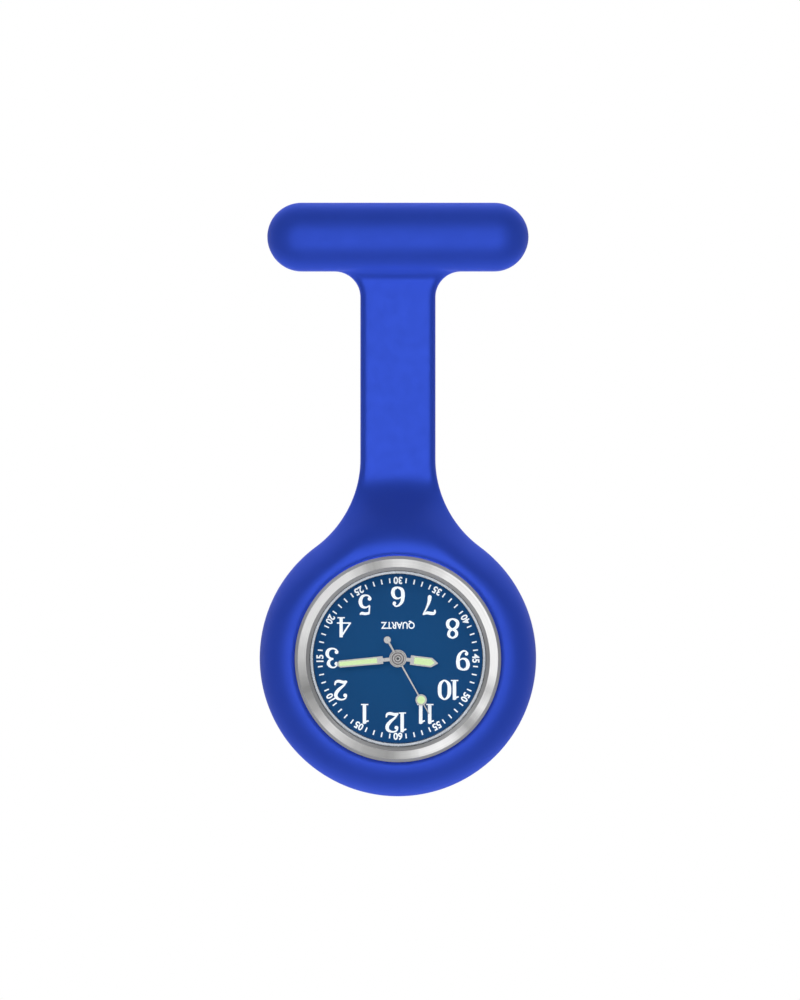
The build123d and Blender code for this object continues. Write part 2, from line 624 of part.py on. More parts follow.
# ---------------------------------------------------------------- dial
with BuildPart() as dial:
    disc(DIAL_BACK, DIAL_THICKNESS, DIAL_RADIUS)
    disc(DIAL_BACK, DIAL_THICKNESS, DIAL_HOLE, mode=Mode.SUBTRACT)
    for angle in DIAL_FOOT_ANGLES:
        disc(DIAL_BACK - DIAL_FOOT_LENGTH, DIAL_FOOT_LENGTH, DIAL_FOOT_RADIUS,
             polar(DIAL_FOOT_CIRCLE, angle))
dial.part.label = "dial"

# ---------------------------------------------------------------- hands
ARBOR_RADIUS = 0.2
PIPE_BORE = ARBOR_RADIUS + 0.05
PIPE_RADIUS = 0.42
HOUR_PIPE_BORE = PIPE_RADIUS + 0.04
HOUR_PIPE_RADIUS = 0.75
NECK_HALF = 0.25
HOUR_HALF = 0.675
HOUR_NECK = 1.8
HOUR_POINT = 4.86
HOUR_WINDOW = (2.35, 4.75, 5.3)
WINDOW_INSET = 0.2
MINUTE_HALF = (0.55, 0.5)
MINUTE_NECK = 2.15
MINUTE_END_RADIUS = 0.42
MINUTE_WINDOW = (3.0, 8.4)
NEEDLE_HALF = 0.14
SECOND_DISC_REACH = 6.75
SECOND_DISC = 0.8
SECOND_WINDOW = 0.57
SECOND_TAIL = 3.07
SECOND_BALL = 0.5

hour_angle = dial_angle(TIME_HOURS / 12)
minute_angle = dial_angle(TIME_MINUTES / 60)
second_angle = dial_angle(TIME_SECONDS / 60)


def hand_plane(height, angle):
    """Plane on the dial's centre whose local x points along a hand."""
    across = polar(1, angle)
    return Plane(origin=(0, -height, WATCH_Z), x_dir=(across[0], 0, across[1]), z_dir=(0, -1, 0))


def hour_window():
    start, shoulder, point = HOUR_WINDOW
    half = HOUR_HALF - WINDOW_INSET
    return [(start, -half), (shoulder, -half), (point, 0), (shoulder, half), (start, half)]


def minute_window():
    start, end = MINUTE_WINDOW
    near, far = MINUTE_HALF[0] - WINDOW_INSET, MINUTE_HALF[1] - WINDOW_INSET
    return [(start, -near), (end, -far), (end, far), (start, near)]


def outline(points, mode=Mode.ADD):
    """A straight-sided shape, added to or cut from the sketch being drawn."""
    with BuildLine() as edge:
        Polyline(*points, close=True)
    make_face(edge.edges(), mode=mode)


with BuildPart() as hour_hand:
    with BuildSketch(hand_plane(HOUR_HEIGHT, hour_angle)):
        outline([(0, -NECK_HALF), (HOUR_NECK, -NECK_HALF), (HOUR_NECK, -HOUR_HALF),
                 (HOUR_POINT, -HOUR_HALF), (HOUR_TIP, 0), (HOUR_POINT, HOUR_HALF),
                 (HOUR_NECK, HOUR_HALF), (HOUR_NECK, NECK_HALF), (0, NECK_HALF)])
        Circle(HOUR_HUB)
        outline(hour_window(), mode=Mode.SUBTRACT)
        Circle(HOUR_PIPE_RADIUS, mode=Mode.SUBTRACT)
    extrude(amount=HAND_THICKNESS)
hour_hand.part.label = "hour_hand"

with BuildPart() as hour_lume:
    with BuildSketch(hand_plane(HOUR_HEIGHT, hour_angle)):
        outline(hour_window())
    extrude(amount=HAND_THICKNESS)
hour_lume.part.label = "hour_lume"

with BuildPart() as minute_hand:
    with BuildSketch(hand_plane(MINUTE_HEIGHT, minute_angle)):
        end = MINUTE_TIP - MINUTE_END_RADIUS
        outline([(0, -NECK_HALF), (MINUTE_NECK, -NECK_HALF), (MINUTE_NECK, -MINUTE_HALF[0]),
                 (end, -MINUTE_HALF[1]), (MINUTE_TIP, -MINUTE_END_RADIUS / 2),
                 (MINUTE_TIP, MINUTE_END_RADIUS / 2), (end, MINUTE_HALF[1]),
                 (MINUTE_NECK, MINUTE_HALF[0]), (MINUTE_NECK, NECK_HALF), (0, NECK_HALF)])
        Circle(MINUTE_HUB)
        outline(minute_window(), mode=Mode.SUBTRACT)
        Circle(PIPE_RADIUS, mode=Mode.SUBTRACT)
    extrude(amount=HAND_THICKNESS)
minute_hand.part.label = "minute_hand"

with BuildPart() as minute_lume:
    with BuildSketch(hand_plane(MINUTE_HEIGHT, minute_angle)):
        outline(minute_window())
    extrude(amount=HAND_THICKNESS)
minute_lume.part.label = "minute_lume"

with BuildPart() as second_hand:
    with BuildSketch(hand_plane(SECOND_HEIGHT, second_angle)):
        outline([(-SECOND_TAIL, -NEEDLE_HALF), (SECOND_TIP, -NEEDLE_HALF / 2),
                 (SECOND_TIP, NEEDLE_HALF / 2), (-SECOND_TAIL, NEEDLE_HALF)])
        Circle(SECOND_HUB)
        with Locations((SECOND_DISC_REACH, 0)):
            Circle(SECOND_DISC)
            Circle(SECOND_WINDOW, mode=Mode.SUBTRACT)
        with Locations((-SECOND_TAIL, 0)):
            Circle(SECOND_BALL)
        Circle(ARBOR_RADIUS, mode=Mode.SUBTRACT)
    extrude(amount=HAND_THICKNESS)
    # boss under the hub
    with BuildSketch(watch_plane(SECOND_HEIGHT - SECOND_CAP)):
        Circle(PIPE_RADIUS)
        Circle(ARBOR_RADIUS, mode=Mode.SUBTRACT)
    extrude(amount=SECOND_CAP)
second_hand.part.label = "second_hand"

with BuildPart() as second_lume:
    with BuildSketch(hand_plane(SECOND_HEIGHT, second_angle)):
        with Locations((SECOND_DISC_REACH, 0)):
            Circle(SECOND_WINDOW)
    extrude(amount=HAND_THICKNESS)
second_lume.part.label = "second_lume"

# ---------------------------------------------------------------- gear train: teeth and places
ROTOR_TEETH = 6
DRIVE_TEETH, DRIVE_PINION = 36, 6
SECONDS_TEETH, SECONDS_PINION = 30, 8
THIRD_TEETH, THIRD_PINION = 60, 8
CENTRE_TEETH, CANNON_TEETH = 64, 12
MINUTE_TEETH, MINUTE_PINION = 36, 10
HOUR_TEETH = 40
SETTING_TEETH = 14
WHEEL_THICKNESS = 0.15
PIVOT_RADIUS = 0.12
STUD_RADIUS = 0.2

third_distance = MODULE * (SECONDS_PINION + THIRD_TEETH) / 2
THIRD_PINION_MODULE = 2 * third_distance / (THIRD_PINION + CENTRE_TEETH)
drive_distance = MODULE_COARSE * (DRIVE_PINION + SECONDS_TEETH) / 2
rotor_distance = MODULE_FINE * (ROTOR_TEETH + DRIVE_TEETH) / 2
minute_distance = MODULE * (CANNON_TEETH + MINUTE_TEETH) / 2
HOUR_MODULE = 2 * minute_distance / (MINUTE_PINION + HOUR_TEETH)
setting_distance = MODULE * (MINUTE_TEETH + SETTING_TEETH) / 2

third_place = polar(third_distance, THIRD_BEARING)
drive_place = polar(drive_distance, DRIVE_BEARING)
rotor_place = beside(drive_place, rotor_distance, ROTOR_BEARING)
minute_place = (-minute_distance, 0)
setting_place = (-minute_distance - setting_distance, 0)

# heights of each wheel's back, from the bridge forwards
SECONDS_WHEEL = BRIDGE_FRONT + 0.15
DRIVE_PINION_BACK = BRIDGE_FRONT + 0.1
SECONDS_PINION_BACK = BRIDGE_FRONT + 0.5
SECONDS_PINION_LENGTH = 0.4
THIRD_WHEEL = BRIDGE_FRONT + 0.6
DRIVE_WHEEL = BRIDGE_FRONT + 0.6
THIRD_PINION_BACK = BRIDGE_FRONT + 0.95
CENTRE_WHEEL = BRIDGE_FRONT + 1.03
PINION_LENGTH = 0.28
MAGNET_BACK = BRIDGE_FRONT + 0.05
MAGNET_LENGTH = 0.4
MAGNET_RADIUS = 0.55
ROTOR_PINION_BACK = BRIDGE_FRONT + 0.55
RECESS_DEPTH = 0.55
recess_back = DIAL_BACK - RECESS_DEPTH
MOTION_WHEEL = recess_back + 0.08
MINUTE_PINION_BACK = recess_back + 0.27
HOUR_WHEEL = recess_back + 0.29
MOTION_THICKNESS = 0.12
PIVOT_END = BRIDGE_BACK + BRIDGE_THICKNESS / 4
PIVOT_FRONT = MAIN_BACK + MAIN_THICKNESS / 3

# ---------------------------------------------------------------- gear train: stepping rotor
rotor_phase = 0.0
drive_phase = meshed_phase(DRIVE_TEETH, ROTOR_TEETH, rotor_phase, ROTOR_BEARING + 180)
with BuildPart() as rotor:
    disc(PIVOT_END, PIVOT_FRONT - PIVOT_END, PIVOT_RADIUS, rotor_place)
    disc(MAGNET_BACK, MAGNET_LENGTH, MAGNET_RADIUS, rotor_place)
    toothed(watch_plane(ROTOR_PINION_BACK), PINION_LENGTH, ROTOR_TEETH, MODULE_FINE,
            rotor_phase, rotor_place)
rotor.part.label = "rotor"

# ---------------------------------------------------------------- gear train: intermediate wheel
seconds_phase = meshed_phase(SECONDS_TEETH, DRIVE_PINION, 0.0, DRIVE_BEARING + 180)
with BuildPart() as intermediate_wheel:
    disc(PIVOT_END, PIVOT_FRONT - PIVOT_END, PIVOT_RADIUS, drive_place)
    toothed(watch_plane(DRIVE_WHEEL), WHEEL_THICKNESS, DRIVE_TEETH, MODULE_FINE, drive_phase, drive_place)
    toothed(watch_plane(DRIVE_PINION_BACK), PINION_LENGTH, DRIVE_PINION, MODULE_COARSE, 0.0, drive_place)
intermediate_wheel.part.label = "intermediate_wheel"

# ---------------------------------------------------------------- gear train: seconds wheel
with BuildPart() as seconds_wheel:
    disc(PIVOT_END, SECONDS_WHEEL - PIVOT_END, PIVOT_RADIUS)
    disc(SECONDS_WHEEL, SECOND_HEIGHT + HAND_THICKNESS - SECONDS_WHEEL, ARBOR_RADIUS)
    toothed(watch_plane(SECONDS_WHEEL), WHEEL_THICKNESS, SECONDS_TEETH, MODULE_COARSE, seconds_phase)
    toothed(watch_plane(SECONDS_PINION_BACK), SECONDS_PINION_LENGTH, SECONDS_PINION, MODULE)
seconds_wheel.part.label = "seconds_wheel"

# ---------------------------------------------------------------- gear train: third wheel
third_phase = meshed_phase(THIRD_TEETH, SECONDS_PINION, 0.0, THIRD_BEARING)
with BuildPart() as third_wheel:
    disc(PIVOT_END, PIVOT_FRONT - PIVOT_END, PIVOT_RADIUS, third_place)
    toothed(watch_plane(THIRD_WHEEL), WHEEL_THICKNESS, THIRD_TEETH, MODULE, third_phase, third_place)
    toothed(watch_plane(THIRD_PINION_BACK), PINION_LENGTH, THIRD_PINION, THIRD_PINION_MODULE,
            0.0, third_place)
third_wheel.part.label = "third_wheel"

# ---------------------------------------------------------------- gear train: centre wheel and cannon pinion
centre_phase = meshed_phase(CENTRE_TEETH, THIRD_PINION, 0.0, THIRD_BEARING + 180)
pipe_back = CENTRE_WHEEL - PIVOT_RUNNING
pipe_length = MINUTE_HEIGHT + HAND_THICKNESS - pipe_back
with BuildPart() as centre_wheel:
    disc(pipe_back, pipe_length, PIPE_RADIUS)
    toothed(watch_plane(CENTRE_WHEEL), WHEEL_THICKNESS, CENTRE_TEETH, THIRD_PINION_MODULE, centre_phase)
    toothed(watch_plane(MOTION_WHEEL), MOTION_THICKNESS, CANNON_TEETH, MODULE)
    disc(pipe_back, pipe_length, PIPE_BORE, mode=Mode.SUBTRACT)
centre_wheel.part.label = "centre_wheel"

# ---------------------------------------------------------------- motion work: minute wheel
minute_phase = meshed_phase(MINUTE_TEETH, CANNON_TEETH, 0.0, 180)
stud_bore = STUD_RADIUS + PIVOT_RUNNING
minute_top = MINUTE_PINION_BACK + MOTION_THICKNESS + PIVOT_RUNNING
with BuildPart() as minute_wheel:
    toothed(watch_plane(MOTION_WHEEL), MOTION_THICKNESS, MINUTE_TEETH, MODULE, minute_phase, minute_place)
    toothed(watch_plane(MOTION_WHEEL), minute_top - MOTION_WHEEL, MINUTE_PINION, HOUR_MODULE,
            0.0, minute_place)
    disc(MOTION_WHEEL, minute_top - MOTION_WHEEL, stud_bore, minute_place, Mode.SUBTRACT)
minute_wheel.part.label = "minute_wheel"

# ---------------------------------------------------------------- motion work: hour wheel
hour_phase = meshed_phase(HOUR_TEETH, MINUTE_PINION, 0.0, 0.0)
hour_pipe_length = HOUR_HEIGHT + HAND_THICKNESS - HOUR_WHEEL
with BuildPart() as hour_wheel:
    toothed(watch_plane(HOUR_WHEEL), MOTION_THICKNESS, HOUR_TEETH, HOUR_MODULE, hour_phase)
    disc(HOUR_WHEEL, hour_pipe_length, HOUR_PIPE_RADIUS)
    disc(HOUR_WHEEL, hour_pipe_length, HOUR_PIPE_BORE, mode=Mode.SUBTRACT)
hour_wheel.part.label = "hour_wheel"

# ---------------------------------------------------------------- motion work: setting wheel
setting_phase = meshed_phase(SETTING_TEETH, MINUTE_TEETH, minute_phase, 180)
with BuildPart() as setting_wheel:
    toothed(watch_plane(MOTION_WHEEL), MOTION_THICKNESS, SETTING_TEETH, MODULE,
            setting_phase, setting_place)
    disc(MOTION_WHEEL, MOTION_THICKNESS, stud_bore, setting_place, Mode.SUBTRACT)
setting_wheel.part.label = "setting_wheel"

# ---------------------------------------------------------------- motion work: guard over the wheels
GUARD_THICKNESS = 0.06
guard_back = DIAL_BACK - GUARD_THICKNESS
guard_radius = MODULE * MINUTE_TEETH / 2 + 2 * MODULE
with BuildPart() as wheel_guard:
    with BuildSketch(watch_plane(guard_back)):
        with BuildSketch(mode=Mode.PRIVATE) as ends:
            Circle(guard_radius)
            with Locations(setting_place):
                Circle(MODULE * SETTING_TEETH / 2 + 2 * MODULE)
        make_hull(ends.edges())
        Circle(DIAL_HOLE, mode=Mode.SUBTRACT)
    extrude(amount=GUARD_THICKNESS)
wheel_guard.part.label = "wheel_guard"

# ---------------------------------------------------------------- movement: main plate
PLATE_CHANNEL = 0.8
SKIRT_GAP = 2.4
SEAT_GAP = 0.15
channel_end = 5.9
sliding_span = (6.4, 7.6)
CLAMP_REACH = 4.3
CLAMP_POST = 0.7
battery_bearing = degrees(atan2(BATTERY_PLACE[1], BATTERY_PLACE[0]))
clamp_posts = [beside(BATTERY_PLACE, CLAMP_REACH, battery_bearing + side) for side in (90, -90)]
BATTERY_BACK = MOVEMENT_BACK + SEAT_GAP
battery_front = BATTERY_BACK + BATTERY_HEIGHT
CONTACT_THICKNESS = 0.1
coil_middle = BRIDGE_FRONT + 0.65
coil_front = coil_middle + COIL_SECTION[1] / 2
LEVER_THICKNESS = 0.15
LEVER_BACK = MAIN_BACK - 0.4
LEVER_POST = 0.4
with BuildPart() as main_plate:
    disc(MAIN_BACK, MAIN_THICKNESS, MOVEMENT_RADIUS)
    # skirt around the train, open where the stem comes in
    with BuildSketch(watch_plane(MAIN_BACK - SKIRT_DEPTH)):
        Circle(MOVEMENT_RADIUS)
        Circle(MOVEMENT_RADIUS - SKIRT_WALL, mode=Mode.SUBTRACT)
        with Locations((-MOVEMENT_RADIUS, 0)):
            Rectangle(4 * SKIRT_WALL, SKIRT_GAP, mode=Mode.SUBTRACT)
    extrude(amount=SKIRT_DEPTH)
    # pillars for the train bridge and posts for the battery clamp
    for place in PILLARS:
        disc(BRIDGE_FRONT, TRAIN_SPACE, PILLAR_RADIUS, place)
    for place in clamp_posts:
        disc(BATTERY_BACK, MAIN_BACK - BATTERY_BACK, CLAMP_POST, place)
    disc(LEVER_BACK, MAIN_BACK - LEVER_BACK, LEVER_POST, LEVER_PIVOT)
    # seats for the battery with its contact, and for the coil
    disc(MAIN_BACK, battery_front + CONTACT_THICKNESS - MAIN_BACK, BATTERY_RADIUS + SEAT_GAP,
         BATTERY_PLACE, Mode.SUBTRACT)
    with BuildSketch(watch_plane(MAIN_BACK)):
        with Locations(COIL_PLACE):
            Rectangle(COIL_LENGTH + 2 * SEAT_GAP, COIL_SECTION[0] + 2 * SEAT_GAP)
    extrude(amount=coil_front + SEAT_GAP - MAIN_BACK, mode=Mode.SUBTRACT)
    # recess for the motion work, leaving two studs
    with BuildSketch(watch_plane(recess_back)):
        Circle(guard_radius)
        with Locations(minute_place):
            Circle(guard_radius)
        with Locations(setting_place):
            Circle(MODULE * SETTING_TEETH / 2 + 2 * MODULE)
        with Locations(minute_place, setting_place):
            Circle(STUD_RADIUS, mode=Mode.SUBTRACT)
    extrude(amount=RECESS_DEPTH, mode=Mode.SUBTRACT)
    disc(guard_back, GUARD_THICKNESS, STUD_RADIUS, minute_place, Mode.SUBTRACT)
    disc(guard_back, GUARD_THICKNESS, STUD_RADIUS, setting_place, Mode.SUBTRACT)
    # channel for the winding stem and window for the sliding pinion
    with BuildSketch(watch_plane(MAIN_BACK)):
        with Locations((-(channel_end + MOVEMENT_RADIUS) / 2, 0)):
            Rectangle(MOVEMENT_RADIUS - channel_end, 2 * PLATE_CHANNEL)
    extrude(amount=STEM_HEIGHT + WIND_RADIUS + PIVOT_RUNNING - MAIN_BACK, mode=Mode.SUBTRACT)
    with BuildSketch(watch_plane(MAIN_BACK)):
        with Locations((-sum(sliding_span) / 2, 0)):
            Rectangle(sliding_span[1] - sliding_span[0] + 2 * SEAT_GAP, 2 * PLATE_CHANNEL)
    extrude(amount=STEM_HEIGHT + 0.7 - MAIN_BACK, mode=Mode.SUBTRACT)
    # bearings, screw holes and dial-foot holes
    disc(MAIN_BACK, MAIN_THICKNESS, HOUR_PIPE_BORE, mode=Mode.SUBTRACT)
    for place in (third_place, drive_place, rotor_place):
        disc(MAIN_BACK, PIVOT_FRONT + PIVOT_RUNNING - MAIN_BACK, PIVOT_RADIUS + PIVOT_RUNNING,
             place, Mode.SUBTRACT)
    for place in PILLARS:
        disc(BRIDGE_FRONT, TRAIN_SPACE, SCREW_SHANK, place, Mode.SUBTRACT)
    for place in clamp_posts:
        disc(BATTERY_BACK, MAIN_BACK - BATTERY_BACK, SCREW_SHANK, place, Mode.SUBTRACT)
    for angle in DIAL_FOOT_ANGLES:
        disc(MAIN_BACK, MAIN_THICKNESS, DIAL_FOOT_RADIUS, polar(DIAL_FOOT_CIRCLE, angle), Mode.SUBTRACT)
main_plate.part.label = "main_plate"

# ---------------------------------------------------------------- movement: train bridge
BRIDGE_MARGIN = 0.4
with BuildPart() as train_bridge:
    with BuildSketch(watch_plane(BRIDGE_BACK)):
        with BuildSketch(mode=Mode.PRIVATE) as lands:
            with Locations(*PILLARS, rotor_place):
                Circle(PILLAR_RADIUS + BRIDGE_MARGIN)
        make_hull(lands.edges())
    extrude(amount=BRIDGE_THICKNESS)
    for place in ((0, 0), third_place, drive_place, rotor_place):
        disc(BRIDGE_BACK, BRIDGE_THICKNESS, PIVOT_RADIUS + PIVOT_RUNNING, place, Mode.SUBTRACT)
    for place in PILLARS:
        disc(BRIDGE_BACK, BRIDGE_THICKNESS, SCREW_SHANK, place, Mode.SUBTRACT)
        disc(BRIDGE_BACK, SCREW_HEAD_HEIGHT, SCREW_HEAD, place, Mode.SUBTRACT)
train_bridge.part.label = "train_bridge"


def slotted_screws(places, head_back, head_height, length):
    """Cheese-head screws driven in from the back, as separate solids in one piece."""
    for place in places:
        disc(head_back, head_height, SCREW_HEAD, place)
        disc(head_back, length, SCREW_SHANK, place)
        with BuildSketch(watch_plane(head_back)) as slot:
            with Locations(place):
                Rectangle(2 * SCREW_HEAD, SCREW_SLOT)
        extrude(slot.sketch, amount=head_height / 2, mode=Mode.SUBTRACT)


# ---------------------------------------------------------------- movement: screws
with BuildPart() as bridge_screws:
    slotted_screws(PILLARS, BRIDGE_BACK, SCREW_HEAD_HEIGHT, BRIDGE_THICKNESS + 0.8 * TRAIN_SPACE)
bridge_screws.part.label = "bridge_screws"

CLAMP_THICKNESS = 0.12
CLAMP_HEAD = 0.16
clamp_back = BATTERY_BACK - CLAMP_THICKNESS
with BuildPart() as clamp_screws:
    slotted_screws(clamp_posts, clamp_back - CLAMP_HEAD, CLAMP_HEAD, MAIN_BACK - BATTERY_BACK)
clamp_screws.part.label = "clamp_screws"

# ---------------------------------------------------------------- movement: battery, clamp and contact
with BuildPart() as battery:
    disc(BATTERY_BACK, BATTERY_HEIGHT, BATTERY_RADIUS, BATTERY_PLACE)
    chamfer(battery.faces().sort_by(Axis.Y)[0].edges(), BATTERY_HEIGHT / 8)
battery.part.label = "battery"

CLAMP_WIDTH = 1.8
with BuildPart() as battery_clamp:
    with BuildSketch(watch_plane(clamp_back)):
        with Locations(Location((*BATTERY_PLACE, 0), (0, 0, battery_bearing + 90))):
            SlotCenterToCenter(2 * CLAMP_REACH, CLAMP_WIDTH)
        with Locations(*clamp_posts):
            Circle(SCREW_SHANK, mode=Mode.SUBTRACT)
    extrude(amount=CLAMP_THICKNESS)
battery_clamp.part.label = "battery_clamp"

with BuildPart() as battery_contact:
    with BuildSketch(watch_plane(battery_front)):
        with Locations(BATTERY_PLACE):
            SlotOverall(1.5 * BATTERY_RADIUS, CLAMP_WIDTH)
    extrude(amount=CONTACT_THICKNESS)
battery_contact.part.label = "battery_contact"

# ---------------------------------------------------------------- movement: stator, coil core and coil
STATOR_THICKNESS = 0.4
STATOR_HOLE = MAGNET_RADIUS + 0.2
STATOR_EYE = STATOR_HOLE + 0.25
STATOR_PAD = 0.65
knee_row = COIL_PLACE[1] - COIL_SECTION[0] / 2 - STATOR_PAD - SEAT_GAP
with BuildPart() as stator:
    for side in (-1, 1):
        pad = (COIL_PLACE[0] + side * (CORE_LENGTH / 2 - STATOR_PAD), COIL_PLACE[1])
        knee = (pad[0], knee_row)
        # each arm runs from the rotor's eye to a knee clear of the coil, then to the core's end
        turn = (knee, STATOR_PAD)
        for stretch in (((rotor_place, STATOR_EYE), turn), (turn, (pad, STATOR_PAD))):
            with BuildSketch(watch_plane(MAGNET_BACK)):
                with BuildSketch(mode=Mode.PRIVATE) as arm_ends:
                    for place, radius in stretch:
                        with Locations(place):
                            Circle(radius)
                make_hull(arm_ends.edges())
            extrude(amount=STATOR_THICKNESS)
    disc(MAGNET_BACK, STATOR_THICKNESS, STATOR_HOLE, rotor_place, Mode.SUBTRACT)
stator.part.label = "stator"

CORE_SECTION = (1.0, 0.4)
core_back = MAGNET_BACK + STATOR_THICKNESS
with BuildPart() as coil_core:
    with BuildSketch(watch_plane(core_back)):
        with Locations(COIL_PLACE):
            SlotOverall(CORE_LENGTH, CORE_SECTION[0])
    extrude(amount=CORE_SECTION[1])
coil_core.part.label = "coil_core"

with BuildPart() as coil_winding:
    coil_plane = Plane(origin=(COIL_PLACE[0] - COIL_LENGTH / 2, -coil_middle, WATCH_Z + COIL_PLACE[1]),
                       x_dir=(0, 0, 1), z_dir=(1, 0, 0))
    with BuildSketch(coil_plane):
        RectangleRounded(*COIL_SECTION, COIL_SECTION[1] / 3)
    extrude(amount=COIL_LENGTH)
    with BuildSketch(watch_plane(core_back)):
        with Locations(COIL_PLACE):
            Rectangle(CORE_LENGTH, CORE_SECTION[0])
    extrude(amount=CORE_SECTION[1], mode=Mode.SUBTRACT)
coil_winding.part.label = "coil_winding"

# ---------------------------------------------------------------- movement: circuit
BOARD_THICKNESS = 0.25
BOARD_RADIUS = 10.7
BOARD_CORNER = (-1.6, -3.3)
board_back = MAIN_BACK - BOARD_THICKNESS
with BuildPart() as circuit_board:
    with BuildSketch(watch_plane(board_back)):
        Circle(BOARD_RADIUS)
        with Locations(BOARD_CORNER):
            Rectangle(BOARD_RADIUS, BOARD_RADIUS, align=(Align.MAX, Align.MAX), mode=Mode.INTERSECT)
    extrude(amount=BOARD_THICKNESS)
circuit_board.part.label = "circuit_board"

CHIP_PLACE = (-6.0, -4.9)
CHIP_SIZE = (2.2, 0.6)
with BuildPart() as timing_chip:
    with BuildSketch(watch_plane(board_back - CHIP_SIZE[1])):
        with Locations(CHIP_PLACE):
            Rectangle(CHIP_SIZE[0], CHIP_SIZE[0])
    extrude(amount=CHIP_SIZE[1])
    chamfer(timing_chip.faces().sort_by(Axis.Y)[-1].edges(), CHIP_SIZE[1] / 4)
timing_chip.part.label = "timing_chip"

CAN_RADIUS = 0.75
CAN_SPAN = (-6.8, -2.0)
CAN_ROW = -7.4
with BuildPart() as quartz_can:
    can_height = board_back - CAN_RADIUS
    can_origin = (CAN_SPAN[0], -can_height, WATCH_Z + CAN_ROW)
    with BuildSketch(Plane(origin=can_origin, x_dir=(0, 0, 1), z_dir=(1, 0, 0))):
        Circle(CAN_RADIUS)
    extrude(amount=CAN_SPAN[1] - CAN_SPAN[0])
    fillet(quartz_can.edges().filter_by(GeomType.CIRCLE), CAN_RADIUS / 4)
quartz_can.part.label = "quartz_can"

# ---------------------------------------------------------------- keyless work: sliding pinion
SLIDING_TEETH = 12
square_bore = WIND_SQUARE + 2 * PIVOT_RUNNING
with BuildPart() as sliding_pinion:
    toothed(stem_plane(sliding_span[0]), sliding_span[1] - sliding_span[0], SLIDING_TEETH, MODULE)
    with BuildSketch(stem_plane(sliding_span[0])):
        Rectangle(square_bore, square_bore)
    extrude(amount=sliding_span[1] - sliding_span[0], mode=Mode.SUBTRACT)
sliding_pinion.part.label = "sliding_pinion"

# ---------------------------------------------------------------- keyless work: setting lever
LEVER_HUB = 0.8
LEVER_ARM = 0.35
LEVER_PIN = 0.15
with BuildPart() as setting_lever:
    with BuildSketch(watch_plane(LEVER_BACK)):
        with BuildSketch(mode=Mode.PRIVATE) as lever_ends:
            with Locations(LEVER_PIVOT):
                Circle(LEVER_HUB)
            with Locations(LEVER_PIN_PLACE):
                Circle(LEVER_ARM)
        make_hull(lever_ends.edges())
        with Locations(LEVER_PIVOT):
            Circle(LEVER_POST + PIVOT_RUNNING, mode=Mode.SUBTRACT)
    extrude(amount=LEVER_THICKNESS)
    pin_back = LEVER_BACK + LEVER_THICKNESS
    disc(pin_back, STEM_HEIGHT + LEVER_PIN - pin_back, LEVER_PIN, LEVER_PIN_PLACE)
setting_lever.part.label = "setting_lever"

# ---------------------------------------------------------------- movement holder
with BuildPart() as movement_holder:
    holder_back = CASE_BACK + CASEBACK_RIM
    with BuildSketch(watch_plane(holder_back)):
        Circle(HOLDER_RADIUS)
        Circle(MOVEMENT_RADIUS + HOLDER_GAP, mode=Mode.SUBTRACT)
    extrude(amount=DIAL_BACK - holder_back)
    with BuildSketch(stem_plane(0)):
        Circle(TUBE_BORE)
    extrude(amount=CASE_BORE, mode=Mode.SUBTRACT)
movement_holder.part.label = "movement_holder"

# ---------------------------------------------------------------- files
pieces = [
    cover_brooch_end, cover_flex_web, cover_watch_ring,
    brooch_plate, hinge_rivet, pin_stem, catch_hook, catch_lock,
    case_body, bezel, crystal, crystal_gasket, dial_ring, caseback, caseback_gasket,
    crown_tube, crown, crown_seal, winding_stem, sliding_pinion, setting_lever,
    dial, hour_hand, hour_lume, minute_hand, minute_lume, second_hand, second_lume,
    rotor, intermediate_wheel, seconds_wheel, third_wheel, centre_wheel,
    minute_wheel, hour_wheel, setting_wheel, wheel_guard,
    main_plate, train_bridge, bridge_screws, clamp_screws, battery, battery_clamp, battery_contact,
    stator, coil_core, coil_winding, circuit_board, timing_chip, quartz_can, movement_holder,
]
os.makedirs("parts", exist_ok=True)
for piece in pieces:
    export_step(piece.part, f"parts/{piece.part.label}.step")
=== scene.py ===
import json
import math

import bpy
import numpy as np
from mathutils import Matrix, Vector
from mathutils.geometry import delaunay_2d_cdt


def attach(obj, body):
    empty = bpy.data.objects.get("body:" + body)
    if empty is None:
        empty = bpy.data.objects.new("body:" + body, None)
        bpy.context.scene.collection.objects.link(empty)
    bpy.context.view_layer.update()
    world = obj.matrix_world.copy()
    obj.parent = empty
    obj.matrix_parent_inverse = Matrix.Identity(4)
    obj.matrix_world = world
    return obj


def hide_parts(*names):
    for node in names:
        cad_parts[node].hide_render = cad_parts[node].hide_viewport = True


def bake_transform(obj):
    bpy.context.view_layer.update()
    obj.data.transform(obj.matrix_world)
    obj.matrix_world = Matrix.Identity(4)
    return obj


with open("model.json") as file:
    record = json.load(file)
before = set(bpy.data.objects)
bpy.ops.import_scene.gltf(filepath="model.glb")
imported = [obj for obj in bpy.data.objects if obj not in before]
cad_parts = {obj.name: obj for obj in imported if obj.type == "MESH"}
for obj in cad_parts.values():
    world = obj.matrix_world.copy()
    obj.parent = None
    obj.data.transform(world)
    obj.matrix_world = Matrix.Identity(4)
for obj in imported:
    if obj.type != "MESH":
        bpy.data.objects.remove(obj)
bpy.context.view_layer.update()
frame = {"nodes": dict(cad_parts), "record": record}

MM = 0.001

